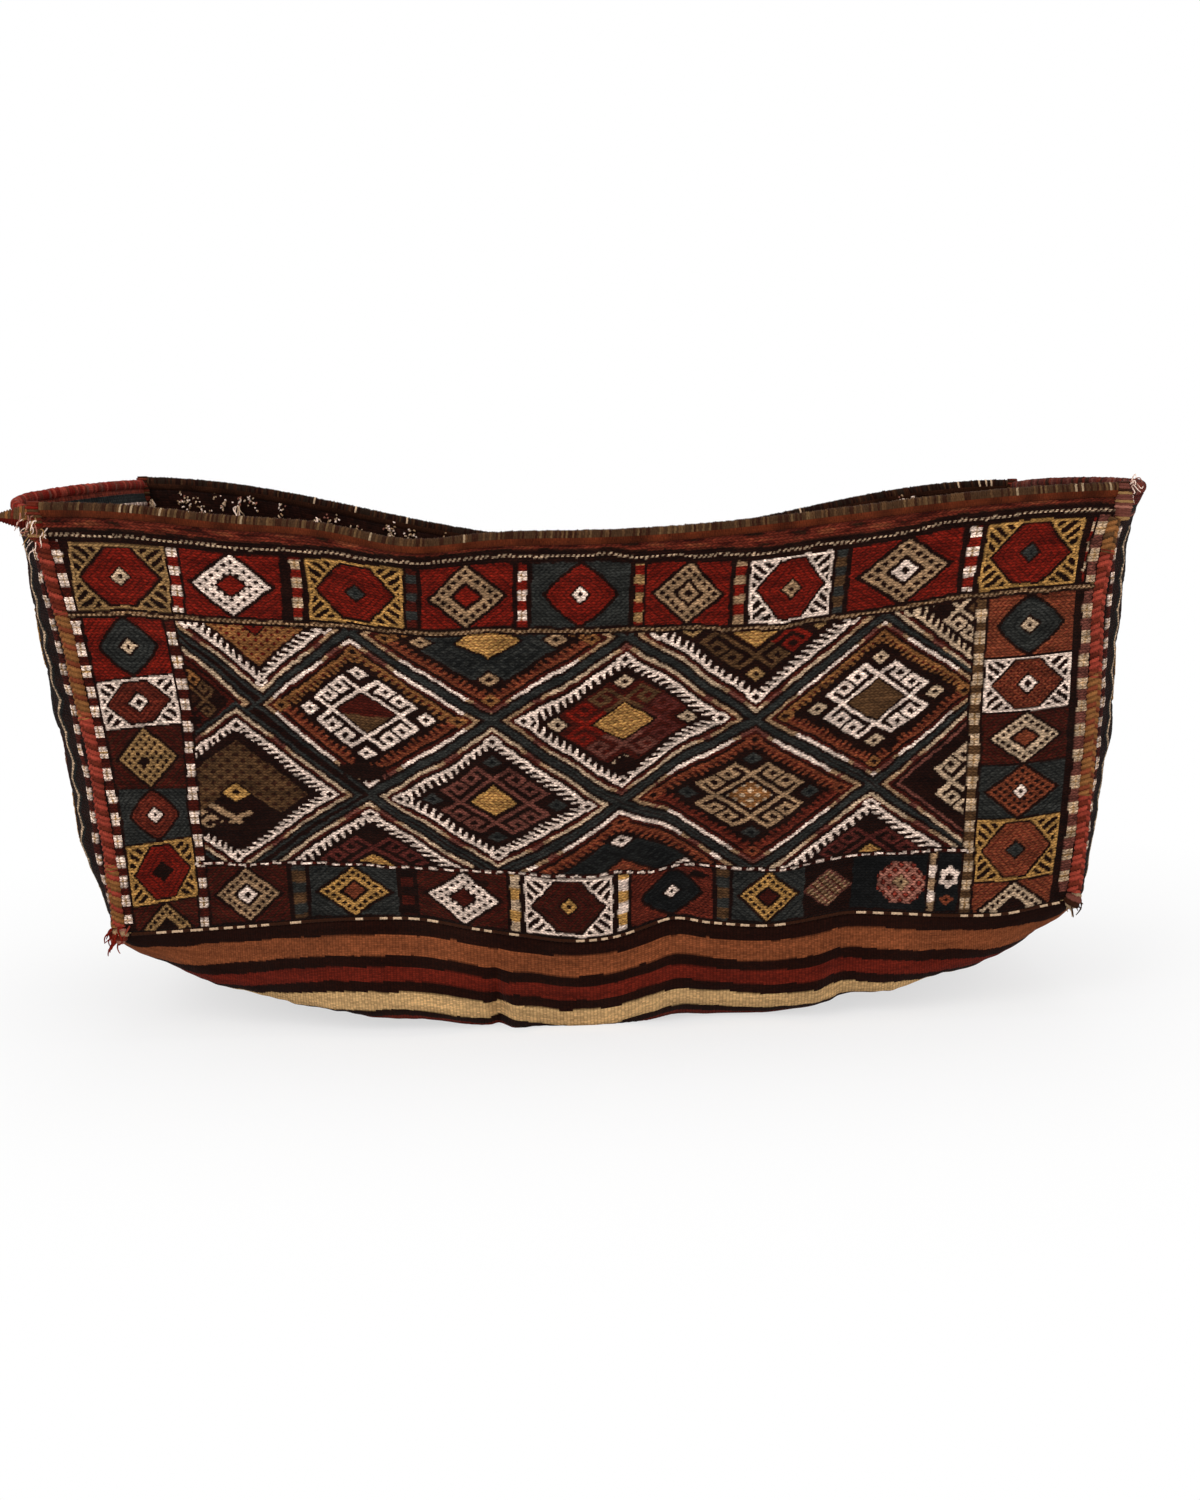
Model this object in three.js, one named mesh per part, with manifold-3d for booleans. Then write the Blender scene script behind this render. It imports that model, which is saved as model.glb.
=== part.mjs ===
// A mafrash: an open, box shaped bedding bag of five woven panels, sewn together along braided seams.
// The front faces -Y, +X is to the right of it, and the belly of the base rests on z = 0. Millimetres.
import * as THREE from "three";
import { mergeVertices } from "three/addons/utils/BufferGeometryUtils.js";
import Module from "manifold-3d";

const wasm = await Module();
wasm.setup();

// The box
const rimLength = 1050; // long sides between the corner seams, at the rim
const leftFoot = 480; // base corners to the left of the middle
const rightFoot = 492; // and to the right of it
const rimDepth = 400; // ends between the corner seams, at the rim
const baseDepth = 384; // the same, at the base seams
const panelHeight = 410; // cloth from the base seam up to the rim binding
const bellyDrop = 124; // base corners above the lowest cloth

// How the cloth hangs
const frontLeftRise = 4; // rim corners above the height of an even bag
const frontRightRise = -2;
const backLeftRise = 17;
const backRightRise = -11;
const leftFootDrop = 8; // base corners below it
const rightFootDrop = -2;
const leftWaist = 10.5; // corner seams are drawn in on their way up
const rightWaist = 11.5;
const leftWaistPower = 1; // most at power / (power + 1) of the height
const rightWaistPower = 4;
const frontSag = 36; // middle of the front rim below its corners
const frontDip = 15; // one more slump in the front rim, left of the middle
const frontDipAt = -0.33; // where along the half length it lies
const frontDipSpread = 0.13; // how wide it is, as a share of the half length
const backSag = 72; // middle of the back rim below its corners
const frontBaseSag = 20; // middle of the front base seam below its corners
const backBaseSag = 8; // the same at the back
const baseSagSpread = 0.3; // how far along the half length that slump reaches
const longBow = 10; // long sides swell outwards at half height
const leftBulge = 53; // left end swells outwards
const leftFootBulge = 26; // and less at the base
const leftBulgeFrom = 0.25; // share of the height from which it is full
const rightBulge = 54; // right end swells outwards at the rim
const rightFootBulge = 31; // and less at the base
const flarePower = 3; // an end swells most at 1 / (flarePower + 1) of the way from the front seam
const endRise = 7; // middle of an end's rim above its corners
const bellyFullness = 1.08; // over 1 gives the belly a flat spot to rest on
const bellySquareness = 4.2; // across the bag the belly is a superellipse
const leftTaper = 0.52; // and it runs out towards the ends by these powers
const rightTaper = 0.6;
const foldCount = 7; // soft folds hanging across the belly
const foldDepth = 5;

// Cloth and sewing
const wall = 4; // soumak panels
const baseWall = 3; // plain weave base
const seamRadius = 6; // corner braids
const baseSeamRadius = 3;
const rimHeight = 14; // overcast binding on the long sides
const rimWidth = 9;
const hemHeight = 10; // rolled hem on the ends
const hemWidth = 8;
const whipRadius = 9.5; // whipped top corners
const whipBelow = 22; // how far a whipping runs down below the rim edge
const whipTurns = 4;
const whipRidge = 1.2;
const whipAbove = 2; // and up past the binding
const tipLength = 34; // pointed tuft at the front left corner
const tipRadius = 5;
const tipForward = 1 / 3; // it leans this much to the front for each step to the left
const knotRadius = 10; // knots at the lower corners
const sewGap = 0.4; // clearance between pieces that touch

// Woven relief on the panels
const rise = 2; // wrapped weave stands this far out of the ground weave
const heartRise = 3.4; // and the hearts of the diamonds this far
const bite = 1.2; // relief is rooted this deep in the wall
const plainBand = 36; // plain stripes under the rim
const borderHeight = 62; // rows of compartments along the top and the bottom
const lineWidth = 4; // twined lines along the borders
const lineGap = 2; // ground weave left between neighbouring pieces of relief
const columnWidth = 106; // column of compartments beside each seam
const barWidth = 11; // checked bars between compartments
const topCells = 9;
const bottomCells = 8;
const columnCells = 4;
const cellMargin = 5; // from a diamond to the edge of its compartment
const latticeStep = 138.5; // half the width of a lattice diamond
const latticeShift = 40; // middle of the field's central diamond
const latticeBand = 12;
const fieldRows = 3; // half heights of a diamond that fit in the field
const heartShare = 0.36; // a diamond's heart against the whole of it
const stripeRise = 0.8; // raised stripes across the base
const zigzagSteps = 9; // turns of the zigzag down the middle of an end
const zigzagWidth = 46;
const zigzagBand = 10;

// Facets: pieces that are sewn together change direction at the same stations along their seam.
const longFacets = 16;
const endFacets = 13; // also the stripes across the base, every second one raised
const heightFacets = 5;
const stationCrowding = 0.5; // 0 spaces the stations evenly, 1 crowds them towards the corners
const reliefFacet = 75; // longest straight edge of a piece of relief
const braidSides = 10; // around a corner braid
const baseSeamSides = 6;
const rimSides = 8;
const whipSides = 8; // around a whipping, a knot and the tuft
const knotRings = 6;

const lerp = THREE.MathUtils.lerp;
const left = -1;
const right = 1;
const front = -1;
const back = 1;

// Swelling that is 1 at its highest, where v is power / (power + 1).
function hump(v, power) {
  return (v ** power * (1 - v) * (power + 1) ** (power + 1)) / power ** power;
}

// Corner seams from the middle of the bag.
function reach(side, v) {
  if (side === left) return lerp(leftFoot, rimLength / 2, v) - leftWaist * hump(v, leftWaistPower);
  return lerp(rightFoot, rimLength / 2, v) - rightWaist * hump(v, rightWaistPower);
}

// How far the rim hangs at s, which runs from -1 to 1 along a long side.
function rimSag(side, s) {
  const swag = Math.cos((s * Math.PI) / 2) ** 2;
  if (side === back) return backSag * swag;
  const slump = Math.exp(-(((s - frontDipAt) / frontDipSpread) ** 2));
  return frontSag * swag + frontDip * slump * (1 - s * s);
}

function baseSag(side, s) {
  const depth = side === front ? frontBaseSag : backBaseSag;
  return depth * Math.exp(-((s / baseSagSpread) ** 2)) * (1 - s * s);
}

// Height of the rim at s along a long side, before it sags.
function rimLine(side, s) {
  const [leftRise, rightRise] =
    side === front ? [frontLeftRise, frontRightRise] : [backLeftRise, backRightRise];
  return bellyDrop + panelHeight + lerp(leftRise, rightRise, (s + 1) / 2);
}

function footLine(s) {
  return bellyDrop - lerp(leftFootDrop, rightFootDrop, (s + 1) / 2);
}

// How far an end has swollen at t, as a share of its bulge: most near the front seam.
function flare(t) {
  return hump((1 - t) / 2, flarePower);
}

function endBulge(side, v) {
  if (side === right) return lerp(rightFootBulge, rightBulge, v);
  return lerp(leftFootBulge, leftBulge, THREE.MathUtils.smoothstep(v, 0, leftBulgeFrom));
}

// Middle of the wall of a long side, s from left to right and v from the base seam to the rim.
function longSide(side) {
  return (s, v) => {
    const x = s * reach(s < 0 ? left : right, v);
    const out = lerp(baseDepth, rimDepth, v) / 2 + longBow * (1 - s * s) * Math.sin(Math.PI * v);
    const z = lerp(footLine(s) - baseSag(side, s), rimLine(side, s) - rimSag(side, s), v);
    return new THREE.Vector3(x, side * out, z);
  };
}

// Middle of the wall of an end, t from the front seam to the back seam.
function endSide(side) {
  return (t, v) => {
    const out = reach(side, v) + endBulge(side, v) * flare(t);
    const y = (t * lerp(baseDepth, rimDepth, v)) / 2;
    const rim = lerp(rimLine(front, side), rimLine(back, side), (t + 1) / 2) + endRise * (1 - t * t);
    return new THREE.Vector3(side * out, y, lerp(footLine(side), rim, v));
  };
}

// Underside of the base, s from left to right and t from front to back, with its belly flat on z = 0.
function belly(s, t) {
  const side = s < 0 ? left : right;
  const x = s * (reach(side, 0) + endBulge(side, 0) * flare(t) * s * s);
  const seam = footLine(s) - lerp(baseSag(front, s), baseSag(back, s), (t + 1) / 2);
  const across = Math.max(0, 1 - Math.abs(t) ** bellySquareness) ** (1 / bellySquareness);
  const along = Math.max(0, 1 - s * s) ** (side === left ? leftTaper : rightTaper);
  const fold = foldDepth * Math.cos(foldCount * Math.PI * s) * t * t * along;
  const z = seam - (bellyFullness * bellyDrop + fold) * across * along;
  return new THREE.Vector3(x, (t * baseDepth) / 2, Math.max(0, z));
}

// Stations from -1 to 1 along a side.
function stations(count) {
  return Array.from({ length: count + 1 }, (_, i) => {
    const even = lerp(-1, 1, i / count);
    return lerp(even, Math.sin((even * Math.PI) / 2), stationCrowding);
  });
}

const longStations = stations(longFacets);
const endStations = stations(endFacets);

// Parameter at which the path has moved a given distance away from its start.
function inset(path, start, end, distance) {
  const origin = path(start);
  let near = start;
  let far = end;
  for (let i = 0; i < 40; i++) {
    const mid = (near + far) / 2;
    if (path(mid).distanceTo(origin) < distance) near = mid;
    else far = mid;
  }
  return far;
}

// Outward normal of a surface whose two directions, in order, are right handed about it.
function normalAt(surface, a, b) {
  const e = 1e-3;
  const high = (x) => Math.min(1, x + e);
  const low = (x, least) => Math.max(least, x - e);
  const alongA = surface(high(a), b).sub(surface(low(a, -1), b));
  const alongB = surface(a, high(b)).sub(surface(a, low(b, -1)));
  return alongA.cross(alongB).normalize();
}

function geometryOf(points, faces) {
  const flat = new Float32Array(points.length * 3);
  points.forEach((p, i) => p.toArray(flat, i * 3));
  const geometry = new THREE.BufferGeometry();
  geometry.setAttribute("position", new THREE.BufferAttribute(flat, 3));
  return geometry.setIndex(faces);
}

// Closed wall between an outer and an inner grid of points, each a list of rows.
function wallBetween(outer, inner) {
  const rows = outer.length;
  const columns = outer[0].length;
  const points = [...outer.flat(), ...inner.flat()];
  const at = (layer, j, i) => layer * rows * columns + j * columns + i;
  const faces = [];
  const quad = (a, b, c, d) => faces.push(a, b, c, a, c, d);
  for (let j = 0; j + 1 < rows; j++)
    for (let i = 0; i + 1 < columns; i++) {
      quad(at(0, j, i), at(0, j, i + 1), at(0, j + 1, i + 1), at(0, j + 1, i));
      quad(at(1, j, i), at(1, j + 1, i), at(1, j + 1, i + 1), at(1, j, i + 1));
    }
  for (let i = 0; i + 1 < columns; i++) {
    quad(at(0, 0, i + 1), at(0, 0, i), at(1, 0, i), at(1, 0, i + 1));
    quad(at(0, rows - 1, i), at(0, rows - 1, i + 1), at(1, rows - 1, i + 1), at(1, rows - 1, i));
  }
  for (let j = 0; j + 1 < rows; j++) {
    quad(at(0, j, 0), at(0, j + 1, 0), at(1, j + 1, 0), at(1, j, 0));
    const end = columns - 1;
    quad(at(0, j + 1, end), at(0, j, end), at(1, j, end), at(1, j + 1, end));
  }
  return geometryOf(points, faces);
}

function solidOf(geometry) {
  const bare = geometry.clone();
  bare.deleteAttribute("normal");
  bare.deleteAttribute("uv");
  const merged = mergeVertices(bare, 1e-3);
  return new wasm.Manifold(
    new wasm.Mesh({
      numProp: 3,
      vertProperties: merged.attributes.position.array,
      triVerts: new Uint32Array(merged.index.array),
    }),
  );
}

function geometryFrom(solid) {
  const mesh = solid.getMesh();
  const geometry = new THREE.BufferGeometry();
  geometry.setAttribute("position", new THREE.BufferAttribute(mesh.vertProperties, 3));
  return geometry.setIndex(new THREE.BufferAttribute(mesh.triVerts, 1));
}

// Places along a path at the given stations, stopping a given distance short of its two corners.
function trimmed(path, along, short) {
  const start = inset(path, -1, 0, short);
  const end = inset(path, 1, 0, short);
  return along.map((a) => THREE.MathUtils.clamp(a, start, end));
}

// Side wall of the bag as a solid: it stops short of the corner braids and of the base seam.
// The surface takes a along the wall, right handed about its outside, and v upwards.
function sidePanel(surface, along) {
  const outer = [];
  const inner = [];
  for (let j = 0; j <= heightFacets; j++) {
    const places = trimmed((a) => surface(a, j / heightFacets), along, seamRadius + sewGap);
    const row = places.map((a) => {
      const low = inset((v) => surface(a, v), 0, 1, baseSeamRadius + sewGap);
      return { a, v: Math.max(low, j / heightFacets) };
    });
    const offset = (by) => row.map(({ a, v }) => surface(a, v).addScaledVector(normalAt(surface, a, v), by));
    outer.push(offset(wall / 2));
    inner.push(offset(-wall / 2));
  }
  return solidOf(wallBetween(outer, inner));
}

const flat = (u, w) => new THREE.Vector2(u, w);

// Path with its long straights divided into facets.
function divided(path) {
  const points = [];
  path.slice(1).forEach((next, i) => {
    const parts = Math.ceil(path[i].distanceTo(next) / reliefFacet);
    for (let k = 0; k < parts; k++) points.push(path[i].clone().lerp(next, k / parts));
  });
  return [...points, path[path.length - 1]];
}

// Relief is drawn in millimetres of flat cloth, u along the wall from its middle and w up from the base seam.
// A plate fills a convex outline that runs anticlockwise, with facets around its middle.
function plate(outline, height = rise) {
  const ring = divided([...outline, outline[0]]).slice(0, -1);
  const middle = ring.reduce((sum, p) => sum.add(p), flat(0, 0)).divideScalar(ring.length);
  const facets = ring.map((_, i) => [ring.length, i, (i + 1) % ring.length]);
  return { points: [...ring, middle], loop: ring.map((_, i) => i), facets, height };
}

// A ribbon fills the room between two edges with as many points each, the second to the left of the first.
function ribbon(rightEdge, leftEdge) {
  const count = rightEdge.length;
  const along = rightEdge.map((_, i) => i);
  const facets = along.slice(1).flatMap((i) => [
    [i - 1, i, i + count],
    [i - 1, i + count, i + count - 1],
  ]);
  const loop = [...along, ...along.map((i) => i + count).reverse()];
  return { points: [...rightEdge, ...leftEdge], loop, facets, height: rise };
}

function levelBand(u0, u1, w0, w1) {
  return ribbon(divided([flat(u0, w0), flat(u1, w0)]), divided([flat(u0, w1), flat(u1, w1)]));
}

function uprightBand(u0, u1, w0, w1) {
  return ribbon(divided([flat(u1, w0), flat(u1, w1)]), divided([flat(u0, w0), flat(u0, w1)]));
}

// Lays a piece of relief on a surface, rooted in its wall.
function relief(surface, flatLength, { points, loop, facets, height }) {
  const count = points.length;
  const place = (p, offset) => {
    const a = p.x / (flatLength / 2);
    const v = p.y / panelHeight;
    return surface(a, v).addScaledVector(normalAt(surface, a, v), wall / 2 + offset);
  };
  const top = points.map((p) => place(p, height));
  const root = points.map((p) => place(p, -bite));
  const faces = facets.flatMap(([a, b, c]) => [a, b, c, a + count, c + count, b + count]);
  loop.forEach((here, i) => {
    const next = loop[(i + 1) % loop.length];
    faces.push(next, here, here + count, next, here + count, next + count);
  });
  return solidOf(geometryOf([...top, ...root], faces));
}

function diamond({ x, y }, halfWidth, halfHeight) {
  return [flat(x - halfWidth, y), flat(x, y - halfHeight), flat(x + halfWidth, y), flat(x, y + halfHeight)];
}

// Part of a convex outline that lies inside a box of flat cloth.
function clipped(outline, low, high) {
  const onEdge = 1e-6;
  const edges = [["x", low.x, 1], ["x", high.x, -1], ["y", low.y, 1], ["y", high.y, -1]];
  let points = outline;
  for (const [axis, limit, sign] of edges) {
    const inside = (p) => sign * (p[axis] - limit);
    const kept = [];
    points.forEach((p, i) => {
      const next = points[(i + 1) % points.length];
      const [here, there] = [inside(p), inside(next)];
      if (here > -onEdge) kept.push(p);
      const crosses = Math.min(here, there) < -onEdge && Math.max(here, there) > onEdge;
      if (crosses) kept.push(p.clone().lerp(next, here / (here - there)));
    });
    points = kept;
  }
  return points;
}

// Heights of the borders in flat cloth, from the base seam, and the field's half width.
const bottomLine = baseSeamRadius + sewGap + lineWidth;
const fieldFoot = bottomLine + borderHeight;
const topLine = panelHeight - plainBand;
const fieldHead = topLine - borderHeight;
const clothHalf = rimLength / 2 - seamRadius - sewGap - lineGap;
const fieldHalf = clothHalf - barWidth - columnWidth;

// Twined lines above and below the top border, each below the height that it names.
function twinedLines() {
  return [topLine, fieldHead].map((w) => levelBand(-clothHalf, clothHalf, w - lineWidth, w));
}

// Checked bars beside the seams and between the columns and the field.
function checkedBars() {
  const low = bottomLine + lineGap;
  const high = fieldHead - lineWidth - lineGap;
  const starts = [-clothHalf, -fieldHalf - barWidth, fieldHalf, clothHalf - barWidth];
  return starts.map((u) => uprightBand(u, u + barWidth, low, high));
}

// The diamond in one compartment.
function cell(low, high) {
  const centre = low.clone().add(high).multiplyScalar(0.5);
  const half = high.clone().sub(low).multiplyScalar(0.5).subScalar(cellMargin);
  return plate(diamond(centre, half.x, half.y));
}

// A row of compartments with a bar between neighbours.
function cellRow(half, low, high, count) {
  const pitch = (2 * half) / count;
  const pieces = [];
  for (let i = 0; i < count; i++) {
    const start = -half + i * pitch;
    const side = barWidth / 2 + lineGap;
    pieces.push(cell(flat(start + side, low), flat(start + pitch - side, high)));
    if (i > 0) pieces.push(uprightBand(start - barWidth / 2, start + barWidth / 2, low, high));
  }
  return pieces;
}

function cellColumn(side, low, high) {
  const pitch = (high - low) / columnCells;
  const inner = side * (fieldHalf + barWidth);
  const outer = side * (clothHalf - barWidth);
  const pieces = [];
  for (let i = 0; i < columnCells; i++) {
    const start = low + i * pitch;
    pieces.push(cell(flat(Math.min(inner, outer), start), flat(Math.max(inner, outer), start + pitch)));
  }
  return pieces;
}

// The field: diamonds, whole and cut, that leave a net of crossing bands of ground weave between them.
function field() {
  const low = flat(-fieldHalf + lineGap, fieldFoot + lineGap);
  const high = flat(fieldHalf - lineGap, fieldHead - lineWidth - lineGap);
  const halfHeight = (high.y - low.y) / fieldRows;
  const share = 1 - latticeBand / halfHeight / 2;
  const reach = Math.ceil((fieldHalf + Math.abs(latticeShift)) / latticeStep) + 1;
  const pieces = [];
  for (let row = 0; row <= fieldRows; row++)
    for (let column = -reach; column <= reach; column++) {
      if ((column + row) % 2 === 0) continue;
      const centre = flat(latticeShift + column * latticeStep, high.y - row * halfHeight);
      const whole = diamond(centre, latticeStep * share, halfHeight * share);
      const seen = clipped(whole, low, high);
      const roomy = seen.length > 2 && Math.abs(THREE.ShapeUtils.area(seen)) > latticeBand * latticeStep;
      if (roomy) pieces.push(plate(seen));
      const heart = diamond(centre, latticeStep * share * heartShare, halfHeight * share * heartShare);
      const clear = clipped(heart, low, high);
      if (roomy && clear.length === 4 && row > 0 && row < fieldRows)
        pieces.push(plate(clear, heartRise));
    }
  return pieces;
}

function frontRelief() {
  const lowest = bottomLine + lineGap;
  const highest = fieldHead - lineWidth - lineGap;
  return [
    ...twinedLines(),
    ...checkedBars(),
    ...cellRow(clothHalf - barWidth, fieldHead + lineGap, topLine - lineWidth - lineGap, topCells),
    ...cellRow(fieldHalf, lowest, fieldFoot - lineGap, bottomCells),
    ...cellColumn(left, lowest, highest),
    ...cellColumn(right, lowest, highest),
    ...field(),
  ];
}

// The back is plainer: its bars and its field.
function backRelief() {
  return [...checkedBars(), ...field()];
}

// Ends carry checked bars beside the seams and a zigzag down the middle.
function endRelief() {
  const half = rimDepth / 2 - seamRadius - sewGap - lineGap;
  const low = bottomLine + lineGap;
  const high = topLine;
  const bars = [-half, half - barWidth].map((u) => uprightBand(u, u + barWidth, low, high));
  const step = (high - low) / zigzagSteps;
  const turn = (i, shift) => flat((i % 2 ? 0.5 : -0.5) * zigzagWidth + shift, low + i * step);
  const turns = Array.from({ length: zigzagSteps + 1 }, (_, i) => i);
  const zigzag = ribbon(
    turns.map((i) => turn(i, zigzagBand)),
    turns.map((i) => turn(i, 0)),
  );
  return [...bars, zigzag];
}

// Base, with a pair of grid lines at each edge of its raised stripes.
function basePanel() {
  const edge = baseSeamRadius + sewGap;
  const surface = (s, minusT) => belly(s, -minusT);
  const outer = [];
  const inner = [];
  const addRow = (station, lift) => {
    const places = trimmed((s) => surface(s, station), longStations, edge);
    const row = places.map((s) => {
      const first = inset((t) => surface(s, t), -1, 0, edge);
      const last = inset((t) => surface(s, t), 1, 0, edge);
      return { s, t: THREE.MathUtils.clamp(station, first, last) };
    });
    const offset = (by) =>
      row.map(({ s, t }) => {
        const on = surface(s, t);
        return on.addScaledVector(normalAt(surface, s, t), on.z > stripeRise ? by : Math.min(by, 0));
      });
    outer.push(offset(lift));
    inner.push(offset(-baseWall));
  };
  const step = stripeRise / baseDepth;
  for (let k = 0; k < endFacets; k++) {
    const raised = k % 2;
    addRow(endStations[k] + raised * step, raised * stripeRise);
    addRow(endStations[k + 1] - raised * step, raised * stripeRise);
  }
  return solidOf(wallBetween(outer, inner));
}

// Path that turns only at its stations.
class StationPath extends THREE.Curve {
  constructor(points) {
    super();
    this.points = points;
  }
  getPoint(share, target = new THREE.Vector3()) {
    const last = this.points.length - 1;
    const i = Math.min(Math.floor(share * last + 1e-9), last - 1);
    return target.lerpVectors(this.points[i], this.points[i + 1], share * last - i);
  }
  getPointAt(share, target) {
    return this.getPoint(share, target);
  }
  getTangentAt(share, target) {
    return this.getTangent(share, target);
  }
}

// Tube of an oval section along a path of points.
function tube(points, halfAcross, halfUp, sides) {
  const section = new THREE.Shape().absellipse(0, 0, halfAcross, halfUp, 0, Math.PI * 2);
  return solidOf(
    new THREE.ExtrudeGeometry(section, {
      steps: points.length - 1,
      extrudePath: new StationPath(points),
      curveSegments: sides / 2,
      bevelEnabled: false,
    }),
  );
}

const corner = (sideX, sideY, v) => longSide(sideY)(sideX, v);

// Corner of the bag, straight between the rows of its panels.
function cornerLine(sideX, sideY, v) {
  const row = Math.min(Math.floor(v * heightFacets), heightFacets - 1);
  const at = (j) => corner(sideX, sideY, j / heightFacets);
  return at(row).lerp(at(row + 1), v * heightFacets - row);
}

// Braid down one corner, between the knot at its foot and the whipping at its head.
function cornerSeam(sideX, sideY) {
  const path = (v) => cornerLine(sideX, sideY, v);
  const low = inset(path, 0, 1, knotRadius + sewGap);
  const rows = Array.from({ length: heightFacets - 1 }, (_, j) => (j + 1) / heightFacets);
  const last = rows[rows.length - 1];
  const climb = path(1).sub(path(last));
  const lean = Math.hypot(climb.x, climb.y) / climb.z;
  const high = lerp(1, last, (whipBelow + sewGap + seamRadius * lean) / climb.z);
  return tube([low, ...rows, high].map(path), seamRadius, seamRadius, braidSides);
}

function baseSeam(path, along, grow) {
  const points = trimmed(path, along, knotRadius + sewGap).map(path);
  return tube(points, baseSeamRadius + grow, baseSeamRadius + grow, baseSeamSides);
}

// Binding along the top edge of a panel. A level path along Y takes its section turned by a quarter.
function rimBinding(path, along, width, height, turned) {
  const lift = sewGap + height / 2;
  const points = trimmed(path, along, whipRadius + sewGap).map((a) => path(a).add({ x: 0, y: 0, z: lift }));
  const [across, up] = turned ? [height, width] : [width, height];
  return tube(points, across / 2, up / 2, rimSides);
}

// Whipping around a top corner: a barrel with a ridge for each turn of yarn.
function whipping(sideX, sideY, grow) {
  const length = whipBelow + rimHeight + whipAbove + 2 * grow;
  const profile = [new THREE.Vector2(0, 0)];
  const halfTurns = whipTurns * 2;
  for (let i = 0; i <= halfTurns; i++) {
    const radius = whipRadius + grow - (i % 2 ? 0 : whipRidge);
    profile.push(new THREE.Vector2(radius, (length * i) / halfTurns));
  }
  profile.push(new THREE.Vector2(0, length));
  const at = corner(sideX, sideY, 1);
  const lathe = new THREE.LatheGeometry(profile, whipSides);
  return solidOf(lathe.rotateX(Math.PI / 2).translate(at.x, at.y, at.z - whipBelow - grow));
}

// Pointed tuft that sticks out of the front left whipping.
function cornerTip() {
  const cone = new THREE.ConeGeometry(tipRadius, tipLength + whipRadius, whipSides);
  const at = corner(left, front, 1);
  const out = new THREE.Vector3(left, front * tipForward, 0).normalize();
  cone.applyQuaternion(new THREE.Quaternion().setFromUnitVectors(new THREE.Vector3(0, 1, 0), out));
  at.addScaledVector(out, (tipLength + whipRadius) / 2);
  return solidOf(cone.translate(at.x, at.y, at.z));
}

function footKnot(sideX, sideY, grow) {
  const at = corner(sideX, sideY, 0);
  const ball = new THREE.SphereGeometry(knotRadius + grow, whipSides, knotRings);
  return solidOf(ball.rotateX(Math.PI / 2).translate(at.x, at.y, at.z));
}

const corners = [
  ["front_left", left, front],
  ["front_right", right, front],
  ["back_left", left, back],
  ["back_right", right, back],
];

// Room that the knots and whippings take out of the cloth around them.
const cornerRoom = corners.flatMap(([, x, y]) => [whipping(x, y, sewGap), footKnot(x, y, sewGap)]);

function woven(surface, along, flatLength, pieces) {
  const raised = pieces.map((piece) => relief(surface, flatLength, piece));
  const panel = wasm.Manifold.union([sidePanel(surface, along), ...raised]);
  return panel.subtract(wasm.Manifold.union(cornerRoom));
}

const wools = {
  soumak: { color: 0x4a1f1a, roughness: 0.95, metalness: 0 },
  kilim: { color: 0x7a4630, roughness: 0.95, metalness: 0 },
  goatHair: { color: 0x57432f, roughness: 0.9, metalness: 0 },
  redHem: { color: 0x8a1f1c, roughness: 0.92, metalness: 0 },
  braid: { color: 0x963c32, roughness: 0.9, metalness: 0 },
  sewing: { color: 0x3a241a, roughness: 0.92, metalness: 0 },
  whipping: { color: 0xa0703c, roughness: 0.9, metalness: 0 },
  knot: { color: 0xa83a34, roughness: 0.9, metalness: 0 },
};

const bag = new THREE.Group();
bag.name = "mafrash_bag";

function add(name, solid, wool) {
  const mesh = new THREE.Mesh(geometryFrom(solid), new THREE.MeshStandardMaterial(wools[wool]));
  mesh.name = name;
  bag.add(mesh);
}

// Each surface runs right handed about the outside of the bag.
const reversed = (surface) => (a, v) => surface(-a, v);
const sides = {
  front: longSide(front),
  back: reversed(longSide(back)),
  left_end: reversed(endSide(left)),
  right_end: endSide(right),
};

add("front_panel", woven(sides.front, longStations, rimLength, frontRelief()), "soumak");
add("back_panel", woven(sides.back, longStations, rimLength, backRelief()), "soumak");
for (const name of ["left_end", "right_end"])
  add(name + "_panel", woven(sides[name], endStations, rimDepth, endRelief()), "soumak");
const seamRoom = [];
for (const [name, side] of [["front", front], ["back", back]]) {
  const rim = (s) => longSide(side)(s, 1);
  const foot = (s) => longSide(side)(s, 0);
  add(name + "_rim_binding", rimBinding(rim, longStations, rimWidth, rimHeight, false), "goatHair");
  add(name + "_base_seam", baseSeam(foot, longStations, 0), "sewing");
  seamRoom.push(baseSeam(foot, longStations, sewGap));
}
for (const [name, side] of [["left", left], ["right", right]]) {
  const rim = (t) => endSide(side)(t, 1);
  const foot = (t) => endSide(side)(t, 0);
  add(name + "_rim_binding", rimBinding(rim, endStations, hemWidth, hemHeight, true), "redHem");
  add(name + "_base_seam", baseSeam(foot, endStations, 0), "sewing");
  seamRoom.push(baseSeam(foot, endStations, sewGap));
}
const baseRoom = wasm.Manifold.union([...cornerRoom, ...seamRoom]);
add("base_panel", basePanel().subtract(baseRoom), "kilim");

for (const [name, x, y] of corners) {
  add(name + "_seam", cornerSeam(x, y), "braid");
  const tufted = x === left && y === front;
  const whip = tufted ? whipping(x, y, 0).add(cornerTip()) : whipping(x, y, 0);
  add(name + "_corner_whip", whip, "whipping");
  add(name + "_foot_knot", footKnot(x, y, 0), "knot");
}

export default bag;
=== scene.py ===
import math
from functools import partial

import bpy
import numpy as np
from mathutils import Matrix, Vector


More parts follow.
